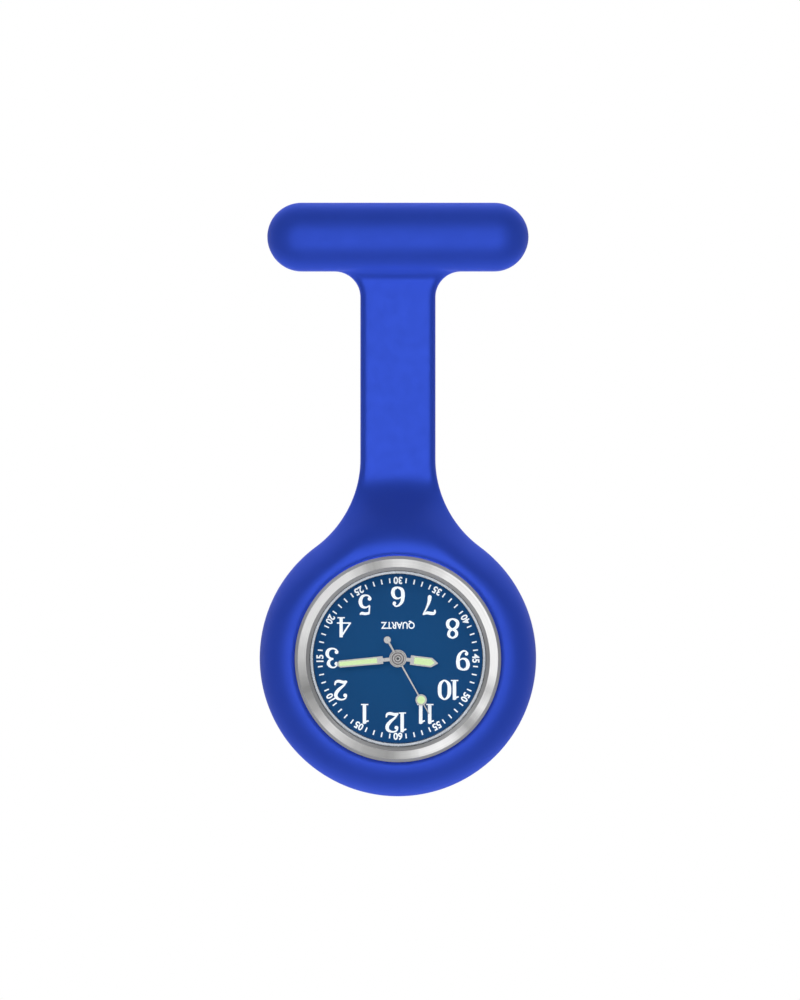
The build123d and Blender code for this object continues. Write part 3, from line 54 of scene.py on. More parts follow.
# Sizes the silicone cover shares with the watch inside it, in millimetres. A height is how far a
# place stands in front of the pin.
WATCH_Z = -60.4
BAR_STRAIGHT = 13.85
BAR_HALF_HEIGHT = 4.9
BAR_FRONT = 8.0
BAR_TURN = 4.7
BAR_EDGE = BAR_HALF_HEIGHT - 0.3
BAR_PILLOW = 2.1
BACK_HEIGHT = 2.0
BACK_TURN = 3.0
BACK_EDGE = 0.8
STRAP_HALF_WIDTH = 5.4
STRAP_TOP = -1.5
STRAP_FRONT = 4.6
STRAP_TURN = 3.7
STRAP_EDGE = 1.0
NECK_PILLOW = 2.0
RING_RADIUS = 19.8
RING_FRONT = 10.6
RING_TURN = 6.2
RING_EDGE = 4.2
FLARE_RADIUS = 15.7
FLARE_X = 21.1
FLARE_Z = -31.85
CORNER_RADIUS = 3.7
CLIMB_START = 27.2
CLIMB_END = 15.0
CLIMB_SIDE = 0.3  # how far upward a direction from the watch points where the climb begins to count
CLIMB_SIDE_SPAN = 0.5
STEP_FILLET = 1.4
STEP_FILLET_HALF_WIDTH = 4.6
STEP_FILLET_FADE = 4.4
STEP_FILLET_RISE = 2.0
FACE_HEIGHT = 7.8
BEZEL_RADIUS = 14.68
BEZEL_GAP = 0.03
BEZEL_SEAT_HEIGHT = 8.0
STEM_HEIGHT = 6.6
CASE_SPACE_RADIUS = 15.43
CASE_SPACE_MIDDLE = 6.06
CASE_SPACE_HALF_DEPTH = 2.86
BACK_OPENING_RADIUS = 13.2
BACK_LIP_HEIGHT = 4.0
CROWN_POCKET_REACH = (13.0, 18.5)
CROWN_POCKET_HALF_WIDTH = 2.15
PLATE_SLOT = (15.52, 2.62, 2.62)  # half length, half width and height
SOFT_EDGE = 0.38
BORE_EDGE = 0.36
FINE_EDGE = 0.2
SHARP_EDGE = 0.12
EVENINGS = 5  # how often the corners of the skin are evened out

# The printing on the dial and the ring round its edge.
MINUTE_TICK = (10.8, 11.5)
MINUTE_TICK_HALF_WIDTH = 0.095
MINUTE_FIGURE_RADIUS = 11.14
MINUTE_FIGURE_HEIGHT = 1.0
MINUTE_FIGURE_BOLD = 0.045
MINUTE_FIGURE_WIDTH = 0.94
HOUR_STEP = 1.52
ELEVEN_STEP = 1.28
WORD_HEIGHT = 0.98
WORD_BOLD = 0.03
WORD_WIDTH = 4.8
WORD_PLACE = -4.8
CAPITAL_SHARE = 0.729  # how much of the letters' size a capital is high
INK_SPREAD = 0.05
INK_THICKNESS = 0.02
EDGE_RING = [(12.08, 0.03), (12.08, 1.3), (12.16, 1.38), (12.49, 1.38), (12.23, 0.03)]


# ---------------------------------------------------------------- the silicone cover

def eased(t):
    """A share from 0 to 1 that starts and stops gently."""
    t = np.clip(t, 0, 1)
    return t * t * (3 - 2 * t)


def slow(t):
    """As above, with a longer soft start and stop."""
    t = np.clip(t, 0, 1)
    return t * t * t * (10 - 15 * t + 6 * t * t)


def joined(a, b, radius):
    """Two solids as one, with a hollow fillet where they meet."""
    fillet = np.hypot(np.maximum(radius - a, 0), np.maximum(radius - b, 0))
    return np.maximum(radius, np.minimum(a, b)) - fillet


def without(a, b, radius):
    """The first solid with the second cut out of it, and the cut's edges rounded."""
    b = -b
    rounding = np.hypot(np.maximum(radius + a, 0), np.maximum(radius + b, 0))
    return np.minimum(-radius, np.maximum(a, b)) + rounding


def bar_inset(x, z):
    """How far a place is inside the bar's outline."""
    return BAR_HALF_HEIGHT - np.hypot(np.maximum(np.abs(x) - BAR_STRAIGHT, 0), z)


def neck_inset(x, z):
    """How far a place is inside the outline of the strap, its flare and the ring."""
    x = np.abs(x)
    below = z - WATCH_Z
    ring = RING_RADIUS - np.hypot(x, below)
    strap = np.minimum(STRAP_HALF_WIDTH - x, STRAP_TOP - z)
    inset = np.where(z > WATCH_Z, np.maximum(strap, ring), ring)
    beside_flare = (z < FLARE_Z) & (x < FLARE_X) & (below * FLARE_X > x * (FLARE_Z - WATCH_Z))
    return np.where(beside_flare, np.hypot(x - FLARE_X, z - FLARE_Z) - FLARE_RADIUS, inset)


def cushion(inset, height, front, front_turn, edge, back_edge, power):
    """A slab with a pillowed front edge, a short upright side and a rounded back edge."""
    rise = front - front_turn
    u = np.maximum(1 - inset / edge, 1e-9) ** power
    v = np.maximum((height - front_turn) / rise, 1e-9) ** power
    crown = ((u + v) ** (1 / power) - 1) * (u * edge + v * rise) / (u + v)
    square = np.maximum(-inset, height - front)
    front_side = np.where((inset < edge) & (height > front_turn), crown, square)
    drop = BACK_TURN - BACK_HEIGHT
    u = np.maximum(1 - inset / back_edge, 0)
    v = np.maximum((BACK_TURN - height) / drop, 0)
    corner = (np.hypot(u, v) - 1) * (u * back_edge + v * drop) / np.maximum(u + v, 1e-9)
    square = np.maximum(-inset, BACK_HEIGHT - height)
    back_side = np.where((inset < back_edge) & (height < BACK_TURN), corner, square)
    return np.where(height > 0.5 * (front_turn + BACK_TURN), front_side, back_side)


def cover_depth(x, height, z):
    """Less than nothing inside the silicone, nothing on its skin."""
    from_watch = np.hypot(x, z - WATCH_Z)
    towards_strap = eased(((z - WATCH_Z) / np.maximum(from_watch, 1) - CLIMB_SIDE) / CLIMB_SIDE_SPAN)
    climb = 1 - towards_strap * (1 - slow((CLIMB_START - from_watch) / (CLIMB_START - CLIMB_END)))
    swell = eased((CLIMB_START - from_watch) / (CLIMB_START - RING_RADIUS))
    bar_outline = bar_inset(x, z)
    neck_outline = -joined(-bar_outline, -neck_inset(x, z), CORNER_RADIUS)
    neck = cushion(
        neck_outline,
        height,
        STRAP_FRONT + (RING_FRONT - STRAP_FRONT) * climb,
        STRAP_TURN + (RING_TURN - STRAP_TURN) * swell,
        STRAP_EDGE + (RING_EDGE - STRAP_EDGE) * swell,
        BACK_EDGE,
        NECK_PILLOW,
    )
    bar = cushion(bar_outline, height, BAR_FRONT, BAR_TURN, BAR_EDGE, BACK_EDGE, BAR_PILLOW)
    across_step = 1 - eased((np.abs(x) - STEP_FILLET_HALF_WIDTH) / STEP_FILLET_FADE)
    step = STEP_FILLET * across_step * eased(-z / STEP_FILLET_RISE) + 1e-3
    body = joined(bar, neck, step)
    bore = np.maximum(from_watch - BEZEL_RADIUS - BEZEL_GAP, BEZEL_SEAT_HEIGHT - height)
    body = without(body, bore, BORE_EDGE)
    back_opening = np.maximum(from_watch - BACK_OPENING_RADIUS, height - BACK_LIP_HEIGHT)
    case_space = np.maximum(
        from_watch - CASE_SPACE_RADIUS, np.abs(height - CASE_SPACE_MIDDLE) - CASE_SPACE_HALF_DEPTH)
    body = without(body, np.minimum(back_opening, case_space), SOFT_EDGE)
    beside_stem = np.abs(z - WATCH_Z)
    round_stem = np.hypot(beside_stem, height - STEM_HEIGHT)
    from_stem = np.where(height > STEM_HEIGHT, round_stem, beside_stem)
    near, far = CROWN_POCKET_REACH
    pocket = np.maximum(np.maximum(-far - x, x + near), from_stem - CROWN_POCKET_HALF_WIDTH)
    body = without(body, pocket, FINE_EDGE)
    half_length, half_width, slot_height = PLATE_SLOT
    slot = np.maximum(np.maximum(np.abs(x) - half_length, np.abs(z) - half_width), height - slot_height)
    return without(body, slot, SHARP_EDGE)


def skinned(depth, xs, ys, zs):
    """The skin of a solid, as corners and four-sided faces: one corner in each cell of the block that
    the skin passes through, drawn onto the skin and evened out."""
    grid = np.stack(np.meshgrid(xs, ys, zs, indexing="ij"), -1)
    value = depth(grid[..., 0], grid[..., 1], grid[..., 2])
    full = value < 0
    count = np.array(value.shape)
    inside = np.zeros(count - 1, int)
    for dx in (0, 1):
        for dy in (0, 1):
            for dz in (0, 1):
                inside += full[dx:count[0] - 1 + dx, dy:count[1] - 1 + dy, dz:count[2] - 1 + dz]
    cells = np.argwhere((inside > 0) & (inside < 8))
    number = np.full(count - 1, -1)
    number[tuple(cells.T)] = np.arange(len(cells))
    total, crossed = np.zeros((len(cells), 3)), np.zeros(len(cells))
    for axis in range(3):
        step = np.eye(3, dtype=int)[axis]
        others = [np.eye(3, dtype=int)[k] for k in range(3) if k != axis]
        for a in (0, 1):
            for b in (0, 1):
                low = cells + a * others[0] + b * others[1]
                low, high = tuple(low.T), tuple((low + step).T)
                passes = full[low] != full[high]
                gap = np.where(passes, value[low] - value[high], 1)
                share = np.where(passes, value[low] / gap, 0)[:, None]
                total += np.where(passes[:, None], grid[low] * (1 - share) + grid[high] * share, 0)
                crossed += passes
    points = total / crossed[:, None]
    faces = []
    for axis in range(3):
        step = np.eye(3, dtype=int)[axis]
        one, two = [np.eye(3, dtype=int)[k] for k in ((1, 2), (2, 0), (0, 1))[axis]]
        trimmed = tuple(slice(0, count[k] - 1) if k == axis else slice(1, count[k] - 1) for k in range(3))
        beyond = tuple(slice(1, count[k]) if k == axis else slice(1, count[k] - 1) for k in range(3))
        passes = np.argwhere(full[trimmed] != full[beyond]) + one + two
        quad = np.stack([number[tuple((passes - s).T)] for s in (0 * one, one, one + two, two)], 1)
        outward = full[tuple(passes.T)]
        faces.append(np.where(outward[:, None], quad, quad[:, ::-1]))
    faces = np.concatenate(faces)
    ends = np.concatenate([faces[:, [k, (k + 1) % 4]] for k in range(4)])
    for evening in range(EVENINGS + 1):
        near, met = np.zeros_like(points), np.zeros(len(points))
        np.add.at(near, ends[:, 0], points[ends[:, 1]])
        np.add.at(met, ends[:, 0], 1)
        if evening:
            points = 0.5 * points + 0.5 * near / met[:, None]
        for _ in range(3):
            here = depth(*points.T)
            slope = np.stack([(depth(*(points + 1e-3 * d).T) - here) / 1e-3 for d in np.eye(3)], 1)
            move = here[:, None] * slope / np.maximum((slope ** 2).sum(1), 0.05)[:, None]
            points = points - np.clip(move, -0.2, 0.2)
    return points, faces


def new_piece(name, corners, faces, finish):
    """A piece made of one mesh, with that finish all over it."""
    mesh = bpy.data.meshes.new(name)
    mesh.from_pydata([tuple(c) for c in corners], [], [tuple(int(k) for k in f) for f in faces])
    mesh.update()
    mesh.materials.append(finish)
    piece = bpy.data.objects.new(name, mesh)
    bpy.context.scene.collection.objects.link(piece)
    return piece


def silicone_cover(finish):
    """The whole soft holder in one skin: bar, strap, flare and ring."""
    pitch = 0.4
    xs = np.arange(-20.4, 20.5, pitch)
    heights = np.arange(1.3, 11.6, pitch * 0.9)
    zs = np.concatenate([np.arange(-81, -29, pitch), np.arange(-29, -9, 0.55), np.arange(-9, 5.8, pitch)])
    points, faces = skinned(cover_depth, xs, heights, np.unique(zs))
    points = points * (1, -1, 1) * MM
    cover = new_piece("silicone_cover", points, faces, finish)
    for face in cover.data.polygons:
        face.use_smooth = True
    return cover


# ---------------------------------------------------------------- finishes

class Level:
    """A number that varies over a surface, so that a finish's sums are written as sums."""

    def __init__(self, finish, socket):
        self.finish, self.socket = finish, socket

    def _sum(self, operation, *values):
        return self.finish.node("Math", {"operation": operation}, *values)

    def __add__(self, other):
        return self._sum("ADD", self, other)

    def __sub__(self, other):
        return self._sum("SUBTRACT", self, other)

    def __mul__(self, other):
        return self._sum("MULTIPLY", self, other)

    def __truediv__(self, other):
        return self._sum("DIVIDE", self, other)

    def __pow__(self, other):
        return self._sum("POWER", self, other)

    __radd__ = __add__
    __rmul__ = __mul__


class Finish:
    """One material, with the numbers that are the same all over it set on the shader itself."""

    def __init__(self, name, colour, **settings):
        self.material = bpy.data.materials.new(name)
        self.material.use_nodes = True
        self.tree = self.material.node_tree
        self.shader = self.tree.nodes["Principled BSDF"]
        self.set("Base Color", (*colour, 1))
        for socket, value in settings.items():
            self.set(socket.replace("_", " "), value)
        self.material.diffuse_color = (*colour, 1)

    def _join(self, socket, value):
        if isinstance(value, Level):
            self.tree.links.new(value.socket, socket)
        elif hasattr(socket, "default_value"):
            socket.default_value = value

    def set(self, socket, value):
        self._join(self.shader.inputs[socket], value)

    def node(self, kind, settings, *values, out=0, **named):
        """A node of that kind. Its settings come first, then its sockets in order or by name."""
        made = self.tree.nodes.new("ShaderNode" + kind)
        for name, value in settings.items():
            if name == "stops":
                ramp = made.color_ramp.elements
                while len(ramp) < len(value):
                    ramp.new(1)
                for stop, (place, shade) in zip(ramp, value):
                    stop.position, stop.color = place, (shade, shade, shade, 1)
            else:
                setattr(made, name, value)
        for socket, value in zip(made.inputs, values):
            self._join(socket, value)
        for name, value in named.items():
            plain = name.replace("_", " ")
            self._join(next(s for s in made.inputs if s.identifier == name or s.name == plain), value)
        outputs = made.outputs if isinstance(out, int) else {s.identifier: s for s in made.outputs}
        return Level(self, outputs[out])

    def mixed(self, share, first, second):
        """A colour between two others."""
        first, second = ((*c, 1) if isinstance(c, tuple) and len(c) == 3 else c for c in (first, second))
        return self.node("Mix", {"data_type": "RGBA"}, Factor_Float=share, A_Color=first, B_Color=second,
                         out="Result_Color")

    def places(self):
        return self.node("TexCoord", {}, out=3)

    def grain(self, size_mm, detail=3.0):
        """Even noise whose grains are about that wide."""
        return self.node("TexNoise", {}, Vector=self.places(), Scale=1 / (size_mm * MM), Detail=detail)

    def from_axis(self, x_mm, z_mm):
        """How far a place is from a line that runs straight back at that x and z, and how far across
        and up from it, in millimetres."""
        apart = self.node("SeparateXYZ", {}, self.places())
        across = Level(self, apart.socket.node.outputs[0]) * 1000 - x_mm
        up = Level(self, apart.socket.node.outputs[2]) * 1000 - z_mm
        return (across ** 2 + up ** 2) ** 0.5, across, up

    def raised(self, height, depth_mm, strength=1.0):
        """A bump as high as depth_mm where height is 1."""
        self.set("Normal", self.node("Bump", {}, Strength=strength, Distance=depth_mm * MM, Height=height))


def srgb(red, green, blue):
    """A colour as it is seen, turned into the amounts of light the shader takes."""
    return tuple((c / 255) ** 2.2 for c in (red, green, blue))


def silicone_finish():
    """Soft blue silicone, a little duller towards the bar and the ring than along the strap."""
    f = Finish("blue_silicone", srgb(57, 86, 211), IOR=1.41, Specular_Tint=(0.06, 0.14, 1.0, 1))
    cloud = f.grain(9, 2)
    f.set("Base Color", f.mixed(cloud, srgb(55, 83, 205), srgb(60, 89, 216)))
    apart = f.node("SeparateXYZ", {}, f.places())
    along = Level(f, apart.socket.node.outputs[2]) * 1000 - STRAP_MIDDLE_Z
    from_strap = f.node("Math", {"operation": "ABSOLUTE"}, along)
    worn = f.node("MapRange", {}, Value=from_strap, From_Min=WORN_FROM, From_Max=WORN_TO)
    f.set("Roughness", 0.41 + 0.1 * f.grain(1.6, 4) + 0.045 * worn)
    f.raised(f.grain(0.12, 5), 0.012)
    return f.material


# Sizes in the finishes, in millimetres.
STRAP_MIDDLE_Z = -27.0
WORN_FROM, WORN_TO = 18.0, 27.0
BRUSHED_FACE = (13.1, 14.25)
HUB_RADIUS = 1.12
HUB_RING_PITCH = 0.36
WIRE_PITCH = 0.11

# Painted reflection: how light the brushed steel is painted round the bezel, from the left through the
# bottom, right and top, standing in for the fans that brushing catches.
PAINTED_REFLECTION_FANS = [(0.0, 0.56), (0.05, 0.24), (0.09, 0.45), (0.13, 0.8), (0.19, 0.44), (0.235, 0.34), (0.265, 0.6),
        (0.29, 0.88), (0.322, 1.0), (0.345, 0.92), (0.378, 0.4), (0.392, 0.48), (0.417, 0.92), (0.446, 0.62),
        (0.475, 0.96), (0.56, 1.0), (0.66, 0.92), (0.705, 0.62), (0.742, 0.84), (0.79, 0.38), (0.835, 0.78),
        (0.95, 0.78), (1.0, 0.56)]


def bezel_finish():
    """Steel brushed round and round; the fans of light and shade that brushing catches are painted
    reflection in the colour of its brushed face.
    """
    f = Finish("brushed_bezel", srgb(222, 221, 218), Metallic=1.0, Roughness=0.3)
    radius, across, up = f.from_axis(0, WATCH_Z)
    turn = f.node("Math", {"operation": "ARCTAN2"}, up, across)
    lines = f.node("TexNoise", {"noise_dimensions": "2D"}, Vector=f.node(
        "CombineXYZ", {}, X=radius * 9, Y=turn * 0.5), Scale=1.0, Detail=4.0)
    flicker = f.node("TexNoise", {"noise_dimensions": "1D"}, W=turn * 14, Scale=1.0, Detail=2.0)
    # Painted reflection: the fans of light and shade go into the colour by the turn round the bezel, shifted
    # a little by noise.
    shade = f.node("ValToRGB", {"stops": PAINTED_REFLECTION_FANS}, turn / (2 * math.pi) + 0.5 + 0.012 * (flicker - 0.5))
    face = f.node("Math", {"operation": "GREATER_THAN"}, radius, BRUSHED_FACE[0]) * f.node(
        "Math", {"operation": "LESS_THAN"}, radius, BRUSHED_FACE[1])
    f.set("Base Color", f.mixed(face, srgb(246, 246, 248), f.mixed(0.3 * lines, shade, srgb(150, 150, 148))))
    f.set("Roughness", 0.26 + 0.16 * lines)
    f.raised(lines, 0.004)
    return f.material


def metal_finish(name, colour, roughness, grain_mm=0.25, depth_mm=0.002):
    """Plain metal with a fine worked surface."""
    f = Finish(name, colour, Metallic=1.0, Roughness=roughness)
    fine = f.grain(grain_mm, 4)
    f.set("Roughness", roughness - 0.06 + 0.14 * f.grain(grain_mm * 8, 3))
    shade = tuple(c * 0.86 for c in colour)
    f.set("Base Color", f.mixed(f.grain(grain_mm * 5, 3), shade, colour))
    f.raised(fine, depth_mm)
    return f.material


def turned_finish(name, colour, roughness, x_mm, z_mm, pitch_mm=0.12):
    """Metal turned on a lathe, with fine rings about its own centre."""
    f = Finish(name, colour, Metallic=1.0, Roughness=roughness)
    radius, _, _ = f.from_axis(x_mm, z_mm)
    rings = f.node("Math", {"operation": "SINE"}, radius * (2 * math.pi / pitch_mm)) * 0.5 + 0.5
    f.set("Base Color", f.mixed(0.25 * rings, colour, tuple(c * 0.7 for c in colour)))
    f.set("Roughness", roughness + 0.12 * f.grain(0.8))
    f.raised(rings, 0.003)
    return f.material


def hand_finish():
    """Polished hands whose stacked hubs are turned in rings."""
    f = Finish("polished_hands", srgb(190, 188, 186), Metallic=1.0, Roughness=0.28)
    radius, _, _ = f.from_axis(0, WATCH_Z)
    rings = f.node("Math", {"operation": "SINE"}, radius * (2 * math.pi / HUB_RING_PITCH)) * 0.5 + 0.5
    hub = f.node("Math", {"operation": "LESS_THAN"}, radius, HUB_RADIUS)
    f.set("Base Color", f.mixed(hub * rings, srgb(190, 188, 186), srgb(108, 102, 104)))
    f.set("Roughness", 0.24 + 0.1 * f.grain(0.5))
    f.raised(hub * rings, 0.01)
    return f.material


def moulded_finish(name, colour, roughness, grain_mm=0.2, depth_mm=0.004):
    """Moulded plastic, rubber or paint with a fine skin."""
    f = Finish(name, colour, Roughness=roughness)
    f.set("Base Color", f.mixed(f.grain(grain_mm * 12, 2), tuple(c * 0.88 for c in colour), colour))
    f.set("Roughness", roughness - 0.05 + 0.1 * f.grain(grain_mm * 4))
    f.raised(f.grain(grain_mm, 4), depth_mm)
    return f.material


def dial_finish():
    f = Finish("blue_dial", srgb(14, 74, 124), Roughness=0.42)
    radius, _, _ = f.from_axis(0, WATCH_Z)
    # Painted shade: the blue is painted a little darker from the middle towards the dial's edge, with random
    # grain mixed in.
    edge = f.node("MapRange", {}, Value=radius, From_Min=4.0, From_Max=12.5)
    f.set("Base Color", f.mixed(0.5 * edge + 0.3 * f.grain(0.6, 4), srgb(14, 76, 127), srgb(13, 68, 116)))
    f.set("Roughness", 0.38 + 0.1 * f.grain(0.4))
    f.raised(f.grain(0.08, 3), 0.002)
    return f.material


def glass_finish():
    """Clear crystal: what is under it shows through, and its faces glint."""
    f = Finish("clear_crystal", (1, 1, 1))
    through = f.tree.nodes.new("ShaderNodeBsdfTransparent")
    through.inputs["Color"].default_value = (0.985, 0.99, 0.995, 1)
    glint = f.tree.nodes.new("ShaderNodeBsdfGlossy")
    glint.inputs["Roughness"].default_value = 0.03
    both = f.tree.nodes.new("ShaderNodeMixShader")
    share = 0.45 * f.node("Fresnel", {}, IOR=1.33)
    f.tree.links.new(share.socket, both.inputs[0])
    f.tree.links.new(through.outputs[0], both.inputs[1])
    f.tree.links.new(glint.outputs[0], both.inputs[2])
    f.tree.links.new(both.outputs[0], f.tree.nodes["Material Output"].inputs["Surface"])
    f.tree.nodes.remove(f.shader)
    return f.material


def board_finish():
    """Green circuit board with paler patches of copper under its lacquer."""
    f = Finish("circuit_board", srgb(24, 92, 58), Roughness=0.35)
    share = f.node("Math", {"operation": "GREATER_THAN"}, f.grain(0.9, 0), 0.52)
    f.set("Base Color", f.mixed(share * 0.6, srgb(22, 88, 56), srgb(60, 130, 80)))
    f.set("Roughness", 0.3 + 0.1 * f.grain(0.5))
    return f.material


def winding_finish():
    """Fine copper wire wound close."""
    f = Finish("copper_winding", srgb(196, 112, 62), Metallic=1.0, Roughness=0.32)
    apart = f.node("SeparateXYZ", {}, f.places())
    along = Level(f, apart.socket.node.outputs[0]) * (2 * math.pi / (WIRE_PITCH * MM))
    turns = f.node("Math", {"operation": "SINE"}, along)
    f.set("Base Color", f.mixed(turns * 0.3 + 0.3, srgb(205, 122, 70), srgb(130, 66, 34)))
    f.set("Roughness", 0.3 + 0.1 * f.grain(0.4))
    f.raised(turns * 0.5 + 0.5, 0.02)
    return f.material


def lume_finish():
    f = Finish("pale_lume", srgb(214, 232, 166), Roughness=0.6)
    f.set("Base Color", f.mixed(f.grain(0.25, 3), srgb(204, 234, 158), srgb(226, 246, 200)))
    f.set("Roughness", 0.55 + 0.1 * f.grain(0.3))
    f.raised(f.grain(0.08, 4), 0.01)
    # A faint green glow: luminous paint has a glow of its own, and here it is also painted light that makes
    # the paint look brighter.
    f.set("Emission Color", f.mixed(f.grain(0.25, 3), srgb(190, 225, 120), srgb(215, 235, 165)))
    f.shader.inputs["Emission Strength"].default_value = 0.12
    return f.material


def ink_finish():
    f = Finish("white_ink", srgb(240, 244, 248), Roughness=0.5)
    f.set("Base Color", f.mixed(f.grain(0.3, 3), srgb(232, 238, 244), srgb(248, 250, 252)))
    f.set("Roughness", 0.45 + 0.1 * f.grain(0.2))
    f.raised(f.grain(0.06, 3), 0.002)
    # Painted light: the ink glows faintly, though it is no lamp, so that it looks brighter.
    f.shader.inputs["Emission Color"].default_value = (1, 1, 1, 1)
    f.shader.inputs["Emission Strength"].default_value = 0.22
    return f.material


# ---------------------------------------------------------------- the printing on the dial

def smoothed(points, widths, closed):
    """A line of points eased into a curve, with its width all along."""
    rows = np.array([(*p, w) for p, w in zip(points, widths)], float)
    n = len(rows)
    if n == 2:
        return rows
    out = []
    for i in range(n if closed else n - 1):
        around = (i - 1, i, i + 1, i + 2)
        a, b, c, d = (rows[k % n] if closed else rows[min(max(k, 0), n - 1)] for k in around)
        for t in np.arange(0, 1, 1 / 6):
            out.append(0.5 * (2 * b + (c - a) * t + (2 * a - 5 * b + 4 * c - d) * t * t
                              + (3 * b - a - 3 * c + d) * t ** 3))
    out.append(out[0] if closed else rows[-1])
    return np.array(out)


def pen(points, widths, closed=False):
    """The four-sided patches that a pen of changing width covers."""
    line = smoothed(points, widths, closed)
    along = np.gradient(line[:, :2], axis=0)
    if closed:
        along[0] = along[-1] = line[1, :2] - line[-2, :2]
    across = np.stack([-along[:, 1], along[:, 0]], 1) / np.linalg.norm(along, axis=1)[:, None]
    half = (line[:, 2:] + INK_SPREAD) / 2
    left, right = line[:, :2] + across * half, line[:, :2] - across * half
    return [np.array([right[i], right[i + 1], left[i + 1], left[i]]) for i in range(len(line) - 1)]


def drop(x, y, radius):
    """A round blob of ink."""
    turn = np.linspace(0, 2 * math.pi, 20, endpoint=False)
    return [np.stack([x + radius * np.cos(turn), y + radius * np.sin(turn)], 1)]


def box_patch(x0, y0, x1, y1):
    """A plain upright stroke of ink, or one that lies flat."""
    return [np.array([(x0, y0), (x1, y0), (x1, y1), (x0, y1)])]


def figure_one():
    return (pen([(0.1, -1.4), (0.1, 1.4)], [0.44, 0.44])
            + pen([(0.2, 1.36), (-0.15, 1.1), (-0.5, 0.98)], [0.3, 0.2, 0.16])
            + box_patch(-0.45, -1.42, 0.6, -1.25))


def figure_two():
    return (drop(-0.6, 0.76, 0.27)
            + pen([(-0.8, 0.72), (-0.62, 1.2), (0, 1.36), (0.62, 1.08), (0.7, 0.5), (0.25, -0.12),
                   (-0.4, -0.68), (-0.82, -1.28)], [0.14, 0.16, 0.2, 0.4, 0.46, 0.38, 0.24, 0.2])
            + pen([(-0.82, -1.22), (-0.35, -1.12), (0.3, -1.26), (0.72, -1.14), (0.88, -0.7)],
                  [0.3, 0.36, 0.36, 0.3, 0.12]))


def figure_three():
    return (drop(-0.56, 0.82, 0.25) + drop(-0.6, -0.84, 0.27)
            + pen([(-0.74, 0.86), (-0.42, 1.28), (0.08, 1.34), (0.54, 0.9), (0.4, 0.36), (-0.16, 0.12)],
                  [0.14, 0.16, 0.2, 0.42, 0.3, 0.14])
            + pen([(-0.16, 0.12), (0.44, -0.04), (0.74, -0.58), (0.54, -1.12), (0, -1.34), (-0.52, -1.2),
                   (-0.8, -0.84)], [0.14, 0.26, 0.46, 0.38, 0.2, 0.16, 0.14]))


def figure_four():
    return (pen([(0.42, 1.38), (-0.92, -0.6)], [0.18, 0.18]) + box_patch(-1.02, -0.7, 1.0, -0.5)
            + box_patch(0.16, -1.42, 0.62, 1.44) + box_patch(-0.14, -1.44, 0.92, -1.27))


def figure_five():
    return (pen([(-0.55, 1.22), (0, 1.3), (0.5, 1.24), (0.78, 1.42)], [0.3, 0.34, 0.34, 0.12])
            + pen([(-0.52, 1.3), (-0.6, 0.14)], [0.17, 0.17]) + drop(-0.6, -0.84, 0.27)
            + pen([(-0.62, 0.1), (-0.1, 0.4), (0.48, 0.24), (0.72, -0.44), (0.46, -1.12), (-0.06, -1.34),
                   (-0.54, -1.2), (-0.8, -0.86)], [0.12, 0.2, 0.38, 0.48, 0.36, 0.2, 0.16, 0.14]))


def figure_six():
    return (drop(0.5, 0.94, 0.25)
            + pen([(0.7, 1.0), (0.36, 1.34), (-0.12, 1.26), (-0.58, 0.7), (-0.72, -0.2), (-0.58, -0.98),
                   (0, -1.34)], [0.14, 0.16, 0.22, 0.4, 0.48, 0.42, 0.22])
            + pen([(0, -1.34), (0.56, -1.1), (0.72, -0.5), (0.48, 0.08), (0, 0.26), (-0.46, 0.06),
                   (-0.7, -0.34)], [0.22, 0.4, 0.48, 0.38, 0.2, 0.14, 0.1]))


def figure_seven():
    return (pen([(-0.84, 0.66), (-0.76, 1.14), (-0.3, 1.2), (0.3, 1.12), (0.88, 1.36)],
                [0.12, 0.34, 0.4, 0.36, 0.14])
            + pen([(0.84, 1.34), (0.36, 0.42), (0, -0.48), (-0.1, -1.2)], [0.14, 0.2, 0.4, 0.52])
            + drop(-0.1, -1.16, 0.27))


def figure_eight():
    return (pen([(0, 1.34), (0.52, 1.02), (0.46, 0.46), (0, 0.14), (-0.52, 0.46), (-0.54, 1.02)],
                [0.2, 0.36, 0.34, 0.3, 0.38, 0.36], True)
            + pen([(0, 0.14), (0.62, -0.3), (0.62, -0.98), (0, -1.34), (-0.68, -0.98), (-0.64, -0.3)],
                  [0.3, 0.42, 0.42, 0.2, 0.42, 0.4], True))


def figure_nine():
    return [-patch for patch in figure_six()]


def figure_nought():
    return pen([(0, 1.34), (0.58, 0.86), (0.7, 0), (0.58, -0.86), (0, -1.34), (-0.58, -0.86), (-0.7, 0),
                (-0.58, 0.86)], [0.18, 0.42, 0.48, 0.42, 0.18, 0.42, 0.48, 0.42], True)


FIGURES = {"0": figure_nought, "1": figure_one, "2": figure_two, "3": figure_three, "4": figure_four,
           "5": figure_five, "6": figure_six, "7": figure_seven, "8": figure_eight, "9": figure_nine}

# Where the middle of each hour's figures stands, across and up from the middle of the dial with
# twelve at the top, in millimetres.
HOUR_PLACES = {"12": (0.05, 9.14), "1": (4.68, 7.93), "2": (8.14, 4.53), "3": (9.37, -0.06),
               "4": (7.72, -4.45), "5": (4.65, -7.68), "6": (0.0, -8.82), "7": (-4.45, -7.62),
               "8": (-7.8, -4.28), "9": (-9.3, 0.3), "10": (-7.42, 4.5), "11": (-4.0, 7.93)}


def turned_about(patches, turn, x=0.0, y=0.0):
    """Patches turned anticlockwise and then moved."""
    c, s = math.cos(turn), math.sin(turn)
    return [patch @ np.array([(c, s), (-s, c)]) + (x, y) for patch in patches]


